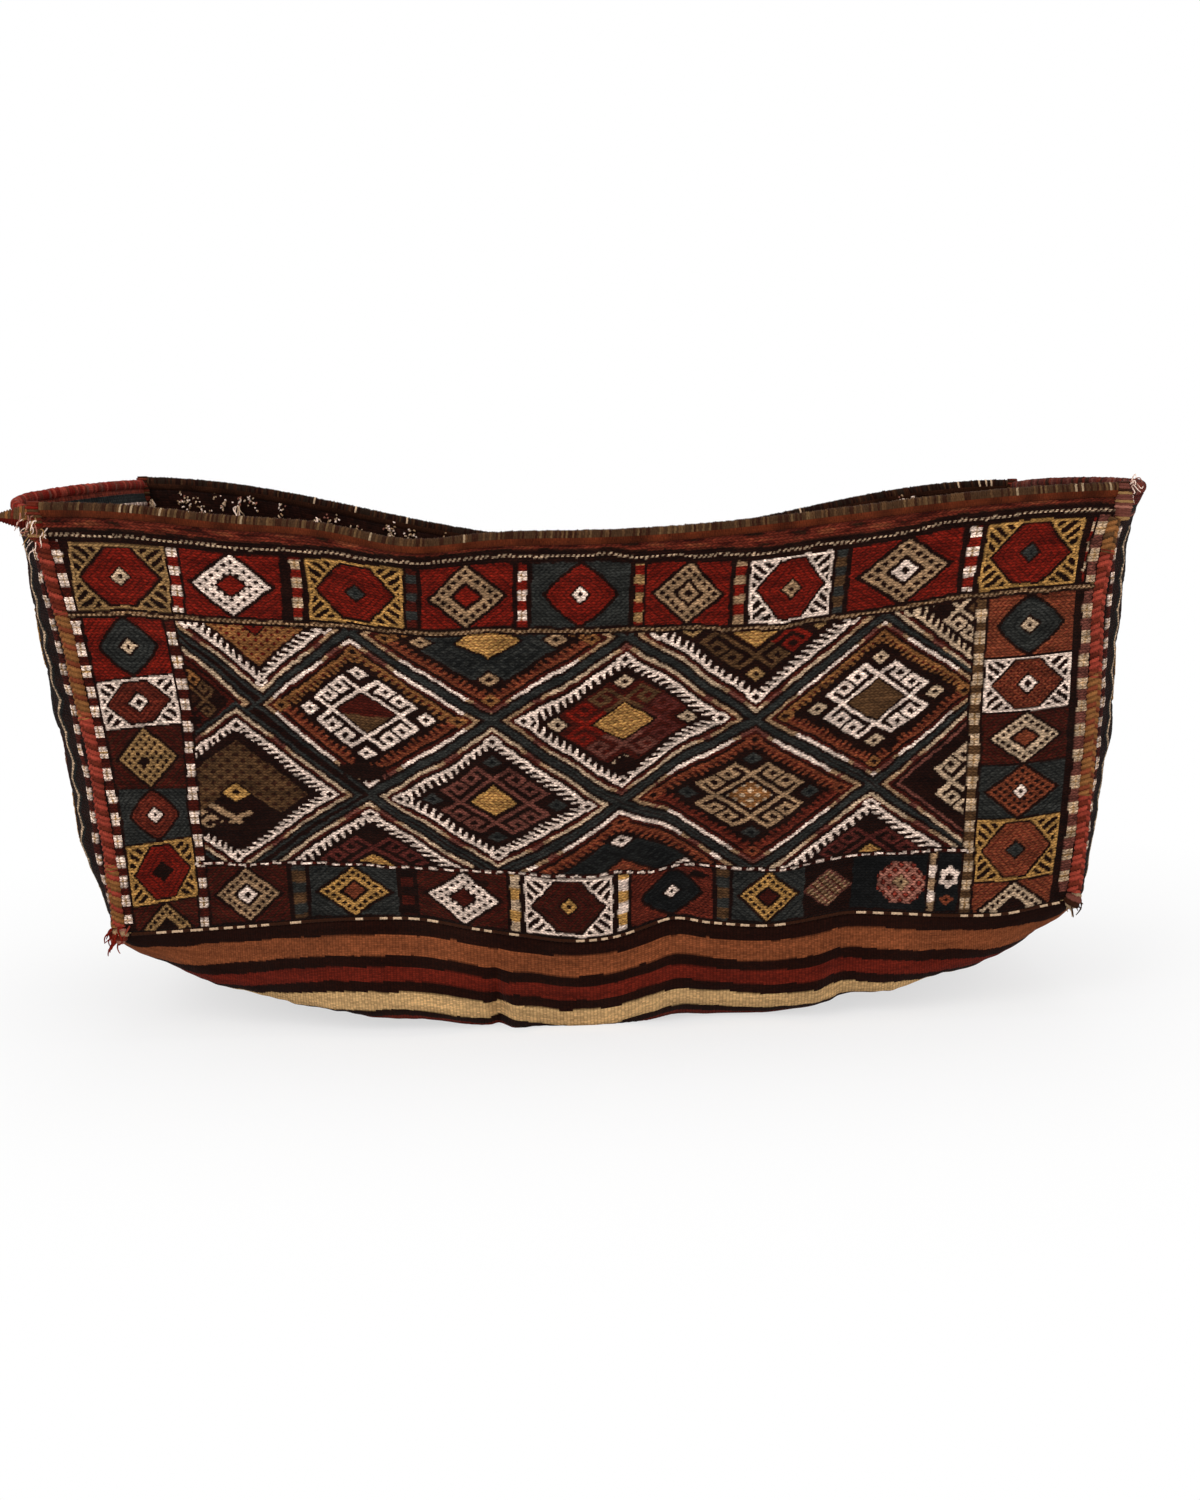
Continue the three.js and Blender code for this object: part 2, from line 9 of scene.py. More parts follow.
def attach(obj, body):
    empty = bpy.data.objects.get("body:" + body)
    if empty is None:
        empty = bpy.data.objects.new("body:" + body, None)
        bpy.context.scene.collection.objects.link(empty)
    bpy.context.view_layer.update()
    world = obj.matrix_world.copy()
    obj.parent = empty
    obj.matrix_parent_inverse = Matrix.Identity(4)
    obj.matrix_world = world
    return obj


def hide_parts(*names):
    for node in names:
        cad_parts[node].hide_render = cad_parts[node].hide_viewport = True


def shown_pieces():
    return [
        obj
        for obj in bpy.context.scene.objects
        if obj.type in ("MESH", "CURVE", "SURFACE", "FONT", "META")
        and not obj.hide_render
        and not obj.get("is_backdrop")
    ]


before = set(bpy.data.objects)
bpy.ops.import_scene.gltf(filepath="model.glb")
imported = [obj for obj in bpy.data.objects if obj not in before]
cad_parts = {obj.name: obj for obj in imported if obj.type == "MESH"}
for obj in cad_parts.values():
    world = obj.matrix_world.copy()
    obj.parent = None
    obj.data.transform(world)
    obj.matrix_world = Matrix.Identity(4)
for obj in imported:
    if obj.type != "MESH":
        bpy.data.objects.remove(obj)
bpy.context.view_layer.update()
print("frame loaded")

# The box of the bag, as the part has it
bag = {
    "rimLength": 1.05,  # long sides between the corner seams, at the rim
    "leftFoot": 0.480,  # base corners left of the middle
    "rightFoot": 0.492,  # and right of it
    "rimDepth": 0.40,  # ends between the corner seams
    "baseDepth": 0.384,
    "panelHeight": 0.41,  # cloth from the base seam up to the rim binding
    "bellyDrop": 0.124,  # base corners above the floor
    "rise": {"front": (0.004, -0.002), "back": (0.017, -0.011)},  # rim corners, left and right
    "footDrop": (0.008, -0.002),  # base corners, left and right
    "waist": (0.0105, 0.0115),  # how far the corner seams are drawn in, left and right
    "waistPower": (1, 4),
    "frontSag": 0.036,
    "frontDip": 0.015,
    "frontDipAt": -0.33,
    "frontDipSpread": 0.13,
    "frontEase": 0.010,
    "frontEaseAt": -0.68,
    "frontEaseSpread": 0.17,
    "backSag": 0.072,
    "backBaseSag": 0.008,
    "baseSagSpread": 0.3,
    "longBow": 0.010,
    "bulge": (0.053, 0.054),  # ends at the rim, left and right
    "footBulge": (0.026, 0.031),
    "leftBulgeOver": 0.25,  # share of the height in which the left end reaches its rim measure
    "drawnIn": 0.010,  # ends at the rim, from a share of their height over another
    "drawnInFrom": 0.72,
    "drawnInOver": 0.28,
    "flarePower": 3,
    "endRise": 0.007,
    "wall": 0.004,
    "baseWall": 0.003,
}
left, right, front, back = -1, 1, -1, 1

# Wools, as they look in daylight
wools = {
    "ground": (27, 9, 5),
    "blueBlack": (18, 18, 18),
    "slate": (45, 45, 42),
    "slateDark": (26, 27, 26),
    "red": (109, 22, 11),
    "garnet": (78, 17, 9),
    "maroon": (64, 18, 10),
    "brick": (96, 36, 23),
    "rust": (116, 56, 34),
    "ochre": (130, 84, 46),
    "gold": (179, 132, 72),
    "khaki": (150, 114, 72),
    "tan": (158, 124, 92),
    "beige": (192, 162, 132),
    "white": (242, 214, 196),
    "olive": (82, 56, 34),
    "mauve": (104, 58, 48),
    "plum": (82, 34, 28),
    "pink": (156, 100, 84),
    "umber": (48, 24, 13),
    "coral": (142, 56, 42),
    "clay": (136, 82, 54),
    "kilimDark": (30, 9, 4),
    "kilimTan": (130, 70, 40),
    "kilimRust": (98, 28, 16),
    "kilimCream": (204, 164, 112),
    "hairDark": (34, 22, 15),
    "hairBrown": (62, 41, 25),
    "rimRust": (78, 32, 14),
    "hairOlive": (92, 68, 43),
    "hairGrey": (150, 126, 98),
}
woolNames = list(wools)


# sRGB to linear light, with an alpha of 1
def dye(*names):
    srgb = np.array([wools[n] for n in names], float) / 255
    linear = np.where(srgb < 0.04045, srgb / 12.92, ((srgb + 0.055) / 1.055) ** 2.4)
    return np.concatenate([linear, np.ones((len(names), 1))], 1)


def lerp(a, b, share):
    return a + (b - a) * share


# Bell curve, 1 at its middle
def bell(x, middle, spread):
    return np.exp(-(((x - middle) / spread) ** 2))


# From 0 to 1 by a cubic that starts and ends level
def ease(x, start, width):
    f = np.clip((x - start) / width, 0, 1)
    return f * f * (3 - 2 * f)


# Smooth line through given knots: cubic pieces whose slope at a knot is that between its neighbours
def throughKnots(x, knots):
    xs, ys = np.array(knots, float).T
    slopes = np.gradient(ys, xs)
    i = np.clip(np.searchsorted(xs, x) - 1, 0, len(xs) - 2)
    gap = xs[i + 1] - xs[i]
    f = np.clip((x - xs[i]) / gap, 0, 1)
    start = (1 + 2 * f) * (1 - f) ** 2 * ys[i] + f * (1 - f) ** 2 * gap * slopes[i]
    end = f * f * (3 - 2 * f) * ys[i + 1] + f * f * (f - 1) * gap * slopes[i + 1]
    return start + end


# Uneven ground: plane waves of about one length, in seeded random directions, added together
def ripples(x, y, seed, length, height, count=9):
    draw = np.random.default_rng(seed)
    turn = draw.uniform(0, 2 * np.pi, count)
    phase = draw.uniform(0, 2 * np.pi, count)
    rate = 2 * np.pi / (length * draw.uniform(0.7, 1.5, count))
    waves = [
        np.sin(rate[n] * (x * np.cos(turn[n]) + y * np.sin(turn[n])) + phase[n])
        for n in range(count)
    ]
    return height * sum(waves) / math.sqrt(count)


# How the cloth hangs. The foot of the front is drawn by its knots: share of the half length, metres down.
frontFoot = [
    (-1, 0), (-0.75, -0.004), (-0.5, -0.008), (-0.36, -0.005), (-0.25, 0.007), (-0.15, 0.016),
    (-0.04, 0.024), (0.05, 0.021), (0.11, 0.012), (0.16, 0.004), (0.25, 0.010), (0.38, 0.015),
    (0.47, 0.009), (0.52, 0.005), (0.62, 0.007), (0.75, 0.012), (0.86, 0.012), (0.95, 0.004), (1, 0),
]


# Rim sag: a squared cosine, with two small slumps left of the middle at the front
def rimSag(side, s):
    swag = np.cos(s * np.pi / 2) ** 2
    if side == back:
        return bag["backSag"] * swag
    dip = bag["frontDip"] * bell(s, bag["frontDipAt"], bag["frontDipSpread"])
    slump = bag["frontEase"] * bell(s, bag["frontEaseAt"], bag["frontEaseSpread"])
    return bag["frontSag"] * swag + (dip + slump) * (1 - s * s)


# Foot sag: the knots at the front, a bell curve at the back
def footSag(side, s):
    if side == front:
        return throughKnots(s, frontFoot)
    return bag["backBaseSag"] * bell(s, 0, bag["baseSagSpread"]) * (1 - s * s)


# Swelling that is 1 at its highest, where v is power / (power + 1)
def hump(v, power):
    return v**power * (1 - v) * (power + 1) ** (power + 1) / power**power


# Corner seams from the middle: straight from foot to rim, drawn in by a swelling
def reach(side, v):
    n = 0 if side == left else 1
    foot = bag["leftFoot"] if side == left else bag["rightFoot"]
    return lerp(foot, bag["rimLength"] / 2, v) - bag["waist"][n] * hump(v, bag["waistPower"][n])


# Rim and foot lines before they sag: straight from the left corner to the right one
def rimLine(side, s):
    low, high = bag["rise"]["front" if side == front else "back"]
    return bag["bellyDrop"] + bag["panelHeight"] + lerp(low, high, (s + 1) / 2)


def footLine(s):
    return bag["bellyDrop"] - lerp(*bag["footDrop"], (s + 1) / 2)


# Swelling across an end, highest towards the front
def flare(t):
    return hump((1 - t) / 2, bag["flarePower"])


# How far an end swells out: from its foot measure to its rim measure, on the left all in the lowest part,
# and drawn in a little at the rim
def endBulge(side, v):
    n = 0 if side == left else 1
    share = ease(v, 0, bag["leftBulgeOver"]) if side == left else v
    drawn = bag["drawnIn"] * ease(v, bag["drawnInFrom"], bag["drawnInOver"])
    return lerp(bag["footBulge"][n], bag["bulge"][n], share) - drawn


# Long side: straight between the seams, bowed out by a sine upwards, hung between rim and foot sag
def longSide(side, s, v):
    x = s * np.where(s < 0, reach(left, v), reach(right, v))
    bow = bag["longBow"] * (1 - s * s) * np.sin(np.pi * v)
    out = lerp(bag["baseDepth"], bag["rimDepth"], v) / 2 + bow
    z = lerp(footLine(s) - footSag(side, s), rimLine(side, s) - rimSag(side, s), v)
    return np.stack([x, side * out, z], -1)


# End: flat between its seams, swollen by the flare, its rim a shallow arch
def endSide(side, t, v):
    out = reach(side, v) + endBulge(side, v) * flare(t)
    y = t * lerp(bag["baseDepth"], bag["rimDepth"], v) / 2
    rim = lerp(rimLine(front, side), rimLine(back, side), (t + 1) / 2) + bag["endRise"] * (1 - t * t)
    return np.stack([side * out, y, lerp(footLine(side), rim, v)], -1)


belly = {
    "fullness": 1.08,  # over 1 rests the belly flat on the floor
    "squareness": 4.2,
    "fuller": [(-0.545, 0.22, 5.5), (0.587, 0.15, 1.9)],  # where it is squarer, how wide, by how much
    "taper": (0.59, 0.62),  # left and right
    "foldRate": 1.6,  # folds grow this fast with the drop, and fade towards the middle by a power
    "foldPower": 3,
    "folds": [  # where along the half length, how wide, how far out in metres
        (-0.42, 0.09, 0.006), (-0.205, 0.016, -0.013), (-0.165, 0.03, 0.010), (0.14, 0.05, 0.008),
        (0.30, 0.07, -0.005), (0.46, 0.035, 0.009), (0.53, 0.03, -0.007), (0.72, 0.08, 0.004),
        (-0.66, 0.07, -0.004), (-0.83, 0.06, 0.005), (-0.45, 0.28, 0.006), (0.62, 0.18, 0.003),
    ],
}


# Belly across, from the front seam to the back one: at each s a superellipse, cut in even steps of cloth.
# Gives the shares of the way across and of the drop.
def bellyProfile(s, count, room):
    turn = np.linspace(0, np.pi, 1201)[:, None]
    square = belly["squareness"] + sum(more * bell(s, at, wide) for at, wide, more in belly["fuller"])
    size = (np.abs(np.cos(turn)) ** square + np.sin(turn) ** square) ** (-1 / square)
    t, drop = -np.cos(turn) * size, np.sin(turn) * size
    steps = np.hypot(np.diff(t, axis=0) * bag["baseDepth"] / 2, np.diff(drop, axis=0) * bag["bellyDrop"])
    lengths = np.concatenate([np.zeros((1, len(s))), np.cumsum(steps, 0)])

    def evenly(part):
        places = np.linspace(room, lengths[-1] - room, count)
        return np.stack([np.interp(places[:, k], lengths[:, k], part[:, k]) for k in range(len(s))], 1)

    return evenly(t), evenly(drop)


# Underside of the base: superellipses across, run out to the ends by a power, with folds as bell curves
def bellySide(s, t, across):
    bulge = np.where(s < 0, bag["footBulge"][0], bag["footBulge"][1])
    x = s * (np.where(s < 0, bag["leftFoot"], bag["rightFoot"]) + bulge * flare(t) * s * s)
    seam = footLine(s) - lerp(footSag(front, s), footSag(back, s), (t + 1) / 2)
    along = np.maximum(0, 1 - s * s) ** np.where(s < 0, *belly["taper"])
    z = seam - belly["fullness"] * bag["bellyDrop"] * across * along
    hang = np.clip(across * belly["foldRate"], 0, 1) * along * np.abs(t) ** belly["foldPower"]
    out = sum(deep * bell(s, at, wide) for at, wide, deep in belly["folds"])
    y = t * bag["baseDepth"] / 2 + np.sign(t) * out * hang
    return np.stack([x, y, np.maximum(0, z)], -1)


def unit(vectors):
    return vectors / np.maximum(np.linalg.norm(vectors, axis=-1, keepdims=True), 1e-12)


# Normals of a grid of points: the cross product of its two directions
def gridNormals(points):
    return unit(np.cross(np.gradient(points, axis=1), np.gradient(points, axis=0)))


def addObject(name, data):
    made = bpy.data.objects.new(name, data)
    bpy.context.scene.collection.objects.link(made)
    return made


# Mesh from vertices and sets of faces. Each set has faces (count, corners), a colour for each face or
# corner, a stitch place for each corner, a flat place for each corner and a material number.
def makePiece(name, vertices, faceSets, materials):
    mesh = bpy.data.meshes.new(name)
    sizes = np.concatenate([np.full(len(f["faces"]), f["faces"].shape[1]) for f in faceSets])
    corners = np.concatenate([f["faces"].ravel() for f in faceSets])
    starts = np.concatenate([[0], np.cumsum(sizes)[:-1]])
    mesh.vertices.add(len(vertices))
    mesh.vertices.foreach_set("co", np.asarray(vertices, np.float32).ravel())
    mesh.loops.add(len(corners))
    mesh.loops.foreach_set("vertex_index", corners.astype(np.int32))
    mesh.polygons.add(len(sizes))
    mesh.polygons.foreach_set("loop_start", starts.astype(np.int32))
    slots = np.concatenate([np.full(len(f["faces"]), f.get("slot", 0)) for f in faceSets])
    mesh.polygons.foreach_set("material_index", slots.astype(np.int32))
    mesh.polygons.foreach_set("use_smooth", np.ones(len(sizes), bool))
    mesh.update(calc_edges=True)
    colours = [
        np.broadcast_to(f["colour"], (*f["faces"].shape, 4)).reshape(-1, 4) for f in faceSets
    ]
    wool = mesh.color_attributes.new("wool", "FLOAT_COLOR", "CORNER")
    wool.data.foreach_set("color", np.concatenate(colours).astype(np.float32).ravel())
    for layer in ("stitch", "OFBake"):
        if all(layer in f for f in faceSets):
            places = np.concatenate([f[layer].reshape(-1, 2) for f in faceSets])
            mesh.uv_layers.new(name=layer).uv.foreach_set("vector", places.astype(np.float32).ravel())
    for material in materials:
        mesh.materials.append(material)
    piece = addObject(name, mesh)
    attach(piece, "root")
    return piece


# Corner numbers of the cells of a grid, going round each cell about its outside
def gridFaces(rows, columns, first=0):
    at = first + np.arange(rows * columns).reshape(rows, columns)
    return np.stack([at[:-1, :-1], at[:-1, 1:], at[1:, 1:], at[1:, :-1]], -1).reshape(-1, 4)


# Places of the same corners on a rectangle
def gridPlaces(rows, columns, low, high):
    u, v = np.meshgrid(np.linspace(low[0], high[0], columns), np.linspace(low[1], high[1], rows))
    flat = np.stack([u, v], -1).reshape(-1, 2)
    return flat[gridFaces(rows, columns)]


# Four samples in each cell of a grid, in the order of the cell's corners
def cornerColours(samples):
    quarters = (samples[0::2, 0::2], samples[0::2, 1::2], samples[1::2, 1::2], samples[1::2, 0::2])
    return np.stack(quarters, 2).reshape(-1, 4, 4)


# Where the faces of a piece lie on its bake map
bakeMap = {
    "outside": ((0.004, 0.34), (0.996, 0.996)),  # low and high corners
    "inside": ((0.004, 0.03), (0.996, 0.32)),
    "edges": (0.01, 0.96),  # four strips between these, each this long, this far apart and this high
    "edgeLong": 0.02,
    "edgeStart": 0.003,
    "edgeStep": 0.006,
    "edgeHigh": 0.004,
    "tube": ([0.9, 0.99], [0.004, 0.005]),  # size and low corner of a tube's wall
    "caps": ([0.95, 0.1], [0.95, 0.3]),  # its two end faces
    "capRadius": 0.02,
}


# Cloth with a fine outside and a coarser inside: two grids, joined by a strip of faces round the edge.
# Both have four colours a cell.
def makeCloth(name, outer, inner, colours, innerColours, stitches, materials):
    rows, columns = outer.shape[:2]
    lowRows, lowColumns = inner.shape[:2]
    up, along = (rows - 1) // (lowRows - 1), (columns - 1) // (lowColumns - 1)
    o = np.arange(rows * columns).reshape(rows, columns)
    n = rows * columns + np.arange(lowRows * lowColumns).reshape(lowRows, lowColumns)

    # strip of faces from a fine edge to a coarse edge, both in the order that faces outwards
    def strip(fine, coarse, step):
        count = len(coarse) - 1
        picks = np.arange(count)[:, None] * step + np.arange(step + 1)[None]
        return np.concatenate([fine[picks], coarse[1:, None], coarse[:-1, None]], 1)

    strips = [
        strip(o[0, ::-1], n[0, ::-1], along),
        strip(o[-1], n[-1], along),
        strip(o[:, 0], n[:, 0], up),
        strip(o[::-1, -1], n[::-1, -1], up),
    ]
    innerColours = cornerColours(innerColours)[:, ::-1]
    sets = [
        {
            "faces": gridFaces(rows, columns),
            "colour": cornerColours(colours),
            "stitch": gridPlaces(rows, columns, (0, 0), stitches),
            "OFBake": gridPlaces(rows, columns, *bakeMap["outside"]),
        },
        {
            "faces": gridFaces(lowRows, lowColumns, rows * columns)[:, ::-1],
            "colour": innerColours,
            "stitch": gridPlaces(lowRows, lowColumns, (0, 0), stitches)[:, ::-1],
            "OFBake": gridPlaces(lowRows, lowColumns, *bakeMap["inside"])[:, ::-1],
            "slot": 1,
        },
    ]
    for k, edge in enumerate(strips):
        places = np.zeros((*edge.shape, 2))
        starts = np.linspace(*bakeMap["edges"], len(edge))[:, None]
        places[..., 0] = starts + np.linspace(0, bakeMap["edgeLong"], edge.shape[1])[None]
        places[..., 1] = bakeMap["edgeStart"] + bakeMap["edgeStep"] * k
        places[:, -2:, 1] += bakeMap["edgeHigh"]
        sets.append(
            {"faces": edge, "colour": innerColours[0, 0], "stitch": places, "OFBake": places, "slot": 1}
        )
    vertices = np.concatenate([outer.reshape(-1, 3), inner.reshape(-1, 3)])
    return makePiece(name, vertices, sets, materials)


# Cell heights carried to the corners of the cells, as the mean of the cells around each corner
def toCorners(cells):
    padded = np.pad(cells, 1, mode="edge")
    return (padded[:-1, :-1] + padded[1:, :-1] + padded[:-1, 1:] + padded[1:, 1:]) / 4


# Angles round a ring
def ringTurns(sides):
    return np.linspace(0, 2 * np.pi, sides, endpoint=False)


# Faces, colours and places of closed tubes (tubes, rings, sides, 3), with a flat face at each end
def tubeSets(rings, colours, first):
    tubes, count, sides = rings.shape[:3]
    numbers = first + np.arange(tubes * count * sides).reshape(tubes, count, sides)
    loop = np.concatenate([numbers, numbers[:, :, :1]], 2)
    walls = np.stack([loop[:, :-1, :-1], loop[:, :-1, 1:], loop[:, 1:, 1:], loop[:, 1:, :-1]], -1)
    ends = np.concatenate([numbers[:, 0, ::-1], numbers[:, -1]])
    colours = np.broadcast_to(colours, (tubes, count - 1, sides, 4))
    endColours = np.concatenate([colours[:, 0, 0], colours[:, -1, 0]])
    cell = gridPlaces(count, sides + 1, (0, 0), (sides, count - 1))
    sets = [
        {
            "faces": walls.reshape(-1, 4),
            "colour": colours.reshape(-1, 1, 4),
            "stitch": np.tile(cell, (tubes, 1, 1)),
        },
        {"faces": ends, "colour": endColours[:, None], "stitch": np.zeros((2 * tubes, sides, 2))},
    ]
    if tubes == 1:
        turn = ringTurns(sides)
        disc = np.stack([np.cos(turn), np.sin(turn)], -1) * bakeMap["capRadius"]
        size, corner = bakeMap["tube"]
        sets[0]["OFBake"] = cell / [sides, count - 1] * size + corner
        sets[1]["OFBake"] = np.stack([disc + middle for middle in bakeMap["caps"]])
    return sets


# One piece from several groups of tubes, each its rings and its colours
def makeTubes(name, groups, materials):
    sets, first = [], 0
    for rings, colours in groups:
        sets += tubeSets(rings, colours, first)
        first += rings[..., 0].size
    if len(groups) > 1:
        for faceSet in sets:
            faceSet.pop("OFBake", None)
    vertices = np.concatenate([rings.reshape(-1, 3) for rings, _ in groups])
    return makePiece(name, vertices, sets, materials)


# How far along a path each of its points lies
def pathLengths(path):
    return np.concatenate([[0], np.cumsum(np.linalg.norm(np.diff(path, axis=0), axis=-1))])


# Points of a path at given lengths along it, on straight pieces between its own points
def pathPoints(path, at):
    lengths = pathLengths(path)
    return np.stack([np.interp(at, lengths, path[:, k]) for k in range(3)], -1)


# Two directions across a path: a reference squared up to the path, and the one across both
def pathFrames(points, reference):
    tangent = unit(np.gradient(points, axis=-2))
    first = unit(reference - (reference * tangent).sum(-1, keepdims=True) * tangent)
    return first, np.cross(tangent, first)


# Rings round a path: circles in its two directions, the second pressed flat by a share
def pathRings(points, out, across, turn, radius, flat=1.0):
    first = np.cos(turn)[:, None] * out[..., None, :]
    second = flat * np.sin(turn)[:, None] * across[..., None, :]
    return points[..., None, :] + radius[..., None] * (first + second)


print("shapes ready")

# Materials

softWool = {"Roughness": 0.95, "Sheen Weight": 0.015, "Sheen Roughness": 0.5, "Specular IOR Level": 0.05}
dustColour = (0.26, 0.20, 0.15, 1)


def setInputs(node, values):
    for name, value in values.items():
        node.inputs[name].default_value = value
    return node


def addNode(tree, kind, **inputs):
    return setInputs(tree.nodes.new(kind), inputs)


def groupNode(tree, group, **inputs):
    node = tree.nodes.new("ShaderNodeGroup")
    node.node_tree = group
    return setInputs(node, inputs)


def mathNode(tree, operation, *terms):
    node = tree.nodes.new("ShaderNodeMath")
    node.operation = operation
    for socket, value in zip(node.inputs, terms):
        if isinstance(value, (int, float)):
            socket.default_value = value
        else:
            tree.links.new(value, socket)
    return node.outputs[0]


def newGroup(name, inputs, outputs):
    tree = bpy.data.node_groups.new(name, "ShaderNodeTree")
    for socket, kind, value in inputs:
        made = tree.interface.new_socket(socket, in_out="INPUT", socket_type=kind)
        if value is not None:
            made.default_value = value
    for socket, kind in outputs:
        tree.interface.new_socket(socket, in_out="OUTPUT", socket_type=kind)
    return tree, tree.nodes.new("NodeGroupInput"), tree.nodes.new("NodeGroupOutput")


# Wrapped stitches: rows of rounded stitches, each row slanted against the next.
# Height is a dome over each stitch; Shade is painted shade, dark in the gaps between stitches and a little
# lighter on their crowns, times each stitch's own depth of dye.
def makeStitchGroup():
    tree, start, end = newGroup(
        "wrappedStitches",
        [
            ("Place", "NodeSocketVector", None),
            ("Slant", "NodeSocketFloat", 0.5),
            ("Gap", "NodeSocketFloat", 0.5),
            ("Uneven", "NodeSocketFloat", 0.3),
        ],
        [("Height", "NodeSocketFloat"), ("Shade", "NodeSocketFloat")],
    )
    calc = partial(mathNode, tree)
    split = tree.nodes.new("ShaderNodeSeparateXYZ")
    tree.links.new(start.outputs["Place"], split.inputs[0])
    across, up = split.outputs[0], split.outputs[1]
    row = calc("FLOOR", up)
    odd = calc("MULTIPLY", calc("FRACT", calc("MULTIPLY", row, 0.5)), 2.0)
    lean = calc("SUBTRACT", calc("MULTIPLY", odd, 2.0), 1.0)
    inRow = calc("FRACT", up)
    shift = calc("MULTIPLY", calc("MULTIPLY", lean, inRow), start.outputs["Slant"])
    along = calc("ADD", across, shift)

    def dome(value):
        high = calc("MULTIPLY", value, calc("SUBTRACT", 1.0, value))
        return calc("SQRT", calc("MULTIPLY", high, 4.0))

    height = calc("MULTIPLY", dome(calc("FRACT", along)), dome(inRow))
    number = tree.nodes.new("ShaderNodeCombineXYZ")
    tree.links.new(calc("FLOOR", along), number.inputs[0])
    tree.links.new(row, number.inputs[1])
    chance = tree.nodes.new("ShaderNodeTexWhiteNoise")
    chance.noise_dimensions = "2D"
    tree.links.new(number.outputs[0], chance.inputs["Vector"])
    depth = calc("SUBTRACT", chance.outputs["Value"], 0.5)
    tint = calc("ADD", calc("MULTIPLY", depth, start.outputs["Uneven"]), 1.0)
    # painted shade: the gaps between stitches fall to 1.12 - Gap of the wool's brightness, the crowns rise
    # to 1.12
    low = calc("SUBTRACT", 1.12, start.outputs["Gap"])
    lit = calc("ADD", calc("MULTIPLY", height, start.outputs["Gap"]), low)
    tree.links.new(height, end.inputs["Height"])
    tree.links.new(calc("MULTIPLY", lit, tint), end.inputs["Shade"])
    return tree


# Handling and age, and painted shade: slow patches of faded and of dusty wool, with fine fibres over
# them, all times the painted shade that the stitches give
def makeAgeShadeGroup():
    tree, start, end = newGroup(
        "agedShadedWool",
        [
            ("Wool", "NodeSocketColor", None),
            ("Shade", "NodeSocketFloat", 1.0),
            ("Fade", "NodeSocketFloat", 0.16),
            ("Fibre", "NodeSocketFloat", 0.22),
            ("Dust", "NodeSocketFloat", 0.06),
        ],
        [("Color", "NodeSocketColor"), ("Fibre", "NodeSocketFloat")],
    )
    calc = partial(mathNode, tree)
    coordinates = tree.nodes.new("ShaderNodeTexCoord")
    slow = addNode(tree, "ShaderNodeTexNoise", Scale=9.0, Detail=3.0, Roughness=0.6)
    fine = addNode(tree, "ShaderNodeTexNoise", Scale=520.0, Detail=2.0, Roughness=0.7)
    for noise in (slow, fine):
        tree.links.new(coordinates.outputs["Object"], noise.inputs["Vector"])

    def swing(noise, amount):
        return calc("MULTIPLY", calc("SUBTRACT", noise.outputs["Fac"], 0.5), amount)

    faded = calc("ADD", swing(slow, start.outputs["Fade"]), 1.0)
    fibres = calc("ADD", swing(fine, start.outputs["Fibre"]), 1.0)
    # the painted shade of the stitches darkens the wool here
    level = calc("MULTIPLY", calc("MULTIPLY", faded, fibres), start.outputs["Shade"])
    tone = tree.nodes.new("ShaderNodeVectorMath")
    tone.operation = "SCALE"
    tree.links.new(start.outputs["Wool"], tone.inputs[0])
    tree.links.new(level, tone.inputs["Scale"])
    dusty = tree.nodes.new("ShaderNodeMix")
    dusty.data_type = "RGBA"
    dusty.inputs[7].default_value = dustColour
    amount = calc("MULTIPLY", calc("ABSOLUTE", swing(slow, 2.0)), start.outputs["Dust"])
    tree.links.new(amount, dusty.inputs[0])
    tree.links.new(tone.outputs[0], dusty.inputs[6])
    tree.links.new(dusty.outputs[2], end.inputs["Color"])
    tree.links.new(fine.outputs["Fac"], end.inputs["Fibre"])
    return tree


stitchGroup = makeStitchGroup()
ageShadeGroup = makeAgeShadeGroup()


# Wool coloured by the piece's own stitches, with painted shade between them. Slant, gap and uneven
# shape them, gap sets how dark the painted shade in the gaps is, and depth is their bump in metres.
def woolMaterial(name, slant=0.0, gap=0.5, uneven=0.3, depth=0.0009, fade=0.16, fibre=0.22, dust=0.02):
    material = bpy.data.materials.new(name)
    material.use_nodes = True
    tree = material.node_tree
    shader = setInputs(tree.nodes["Principled BSDF"], softWool)
    wool = tree.nodes.new("ShaderNodeAttribute")
    wool.attribute_name = "wool"
    place = tree.nodes.new("ShaderNodeUVMap")
    place.uv_map = "stitch"
    stitches = groupNode(tree, stitchGroup, Slant=slant, Gap=gap, Uneven=uneven)
    agedShaded = groupNode(tree, ageShadeGroup, Fade=fade, Fibre=fibre, Dust=dust)
    bump = addNode(tree, "ShaderNodeBump", Strength=0.8, Distance=depth)
    tree.links.new(place.outputs[0], stitches.inputs["Place"])
    tree.links.new(wool.outputs["Color"], agedShaded.inputs["Wool"])
    tree.links.new(stitches.outputs["Shade"], agedShaded.inputs["Shade"])
    tree.links.new(agedShaded.outputs["Color"], shader.inputs["Base Color"])
    fuzz = mathNode(tree, "MULTIPLY", agedShaded.outputs["Fibre"], 0.5)
    height = mathNode(tree, "ADD", stitches.outputs["Height"], fuzz)
    tree.links.new(height, bump.inputs["Height"])
    tree.links.new(bump.outputs[0], shader.inputs["Normal"])
    return material


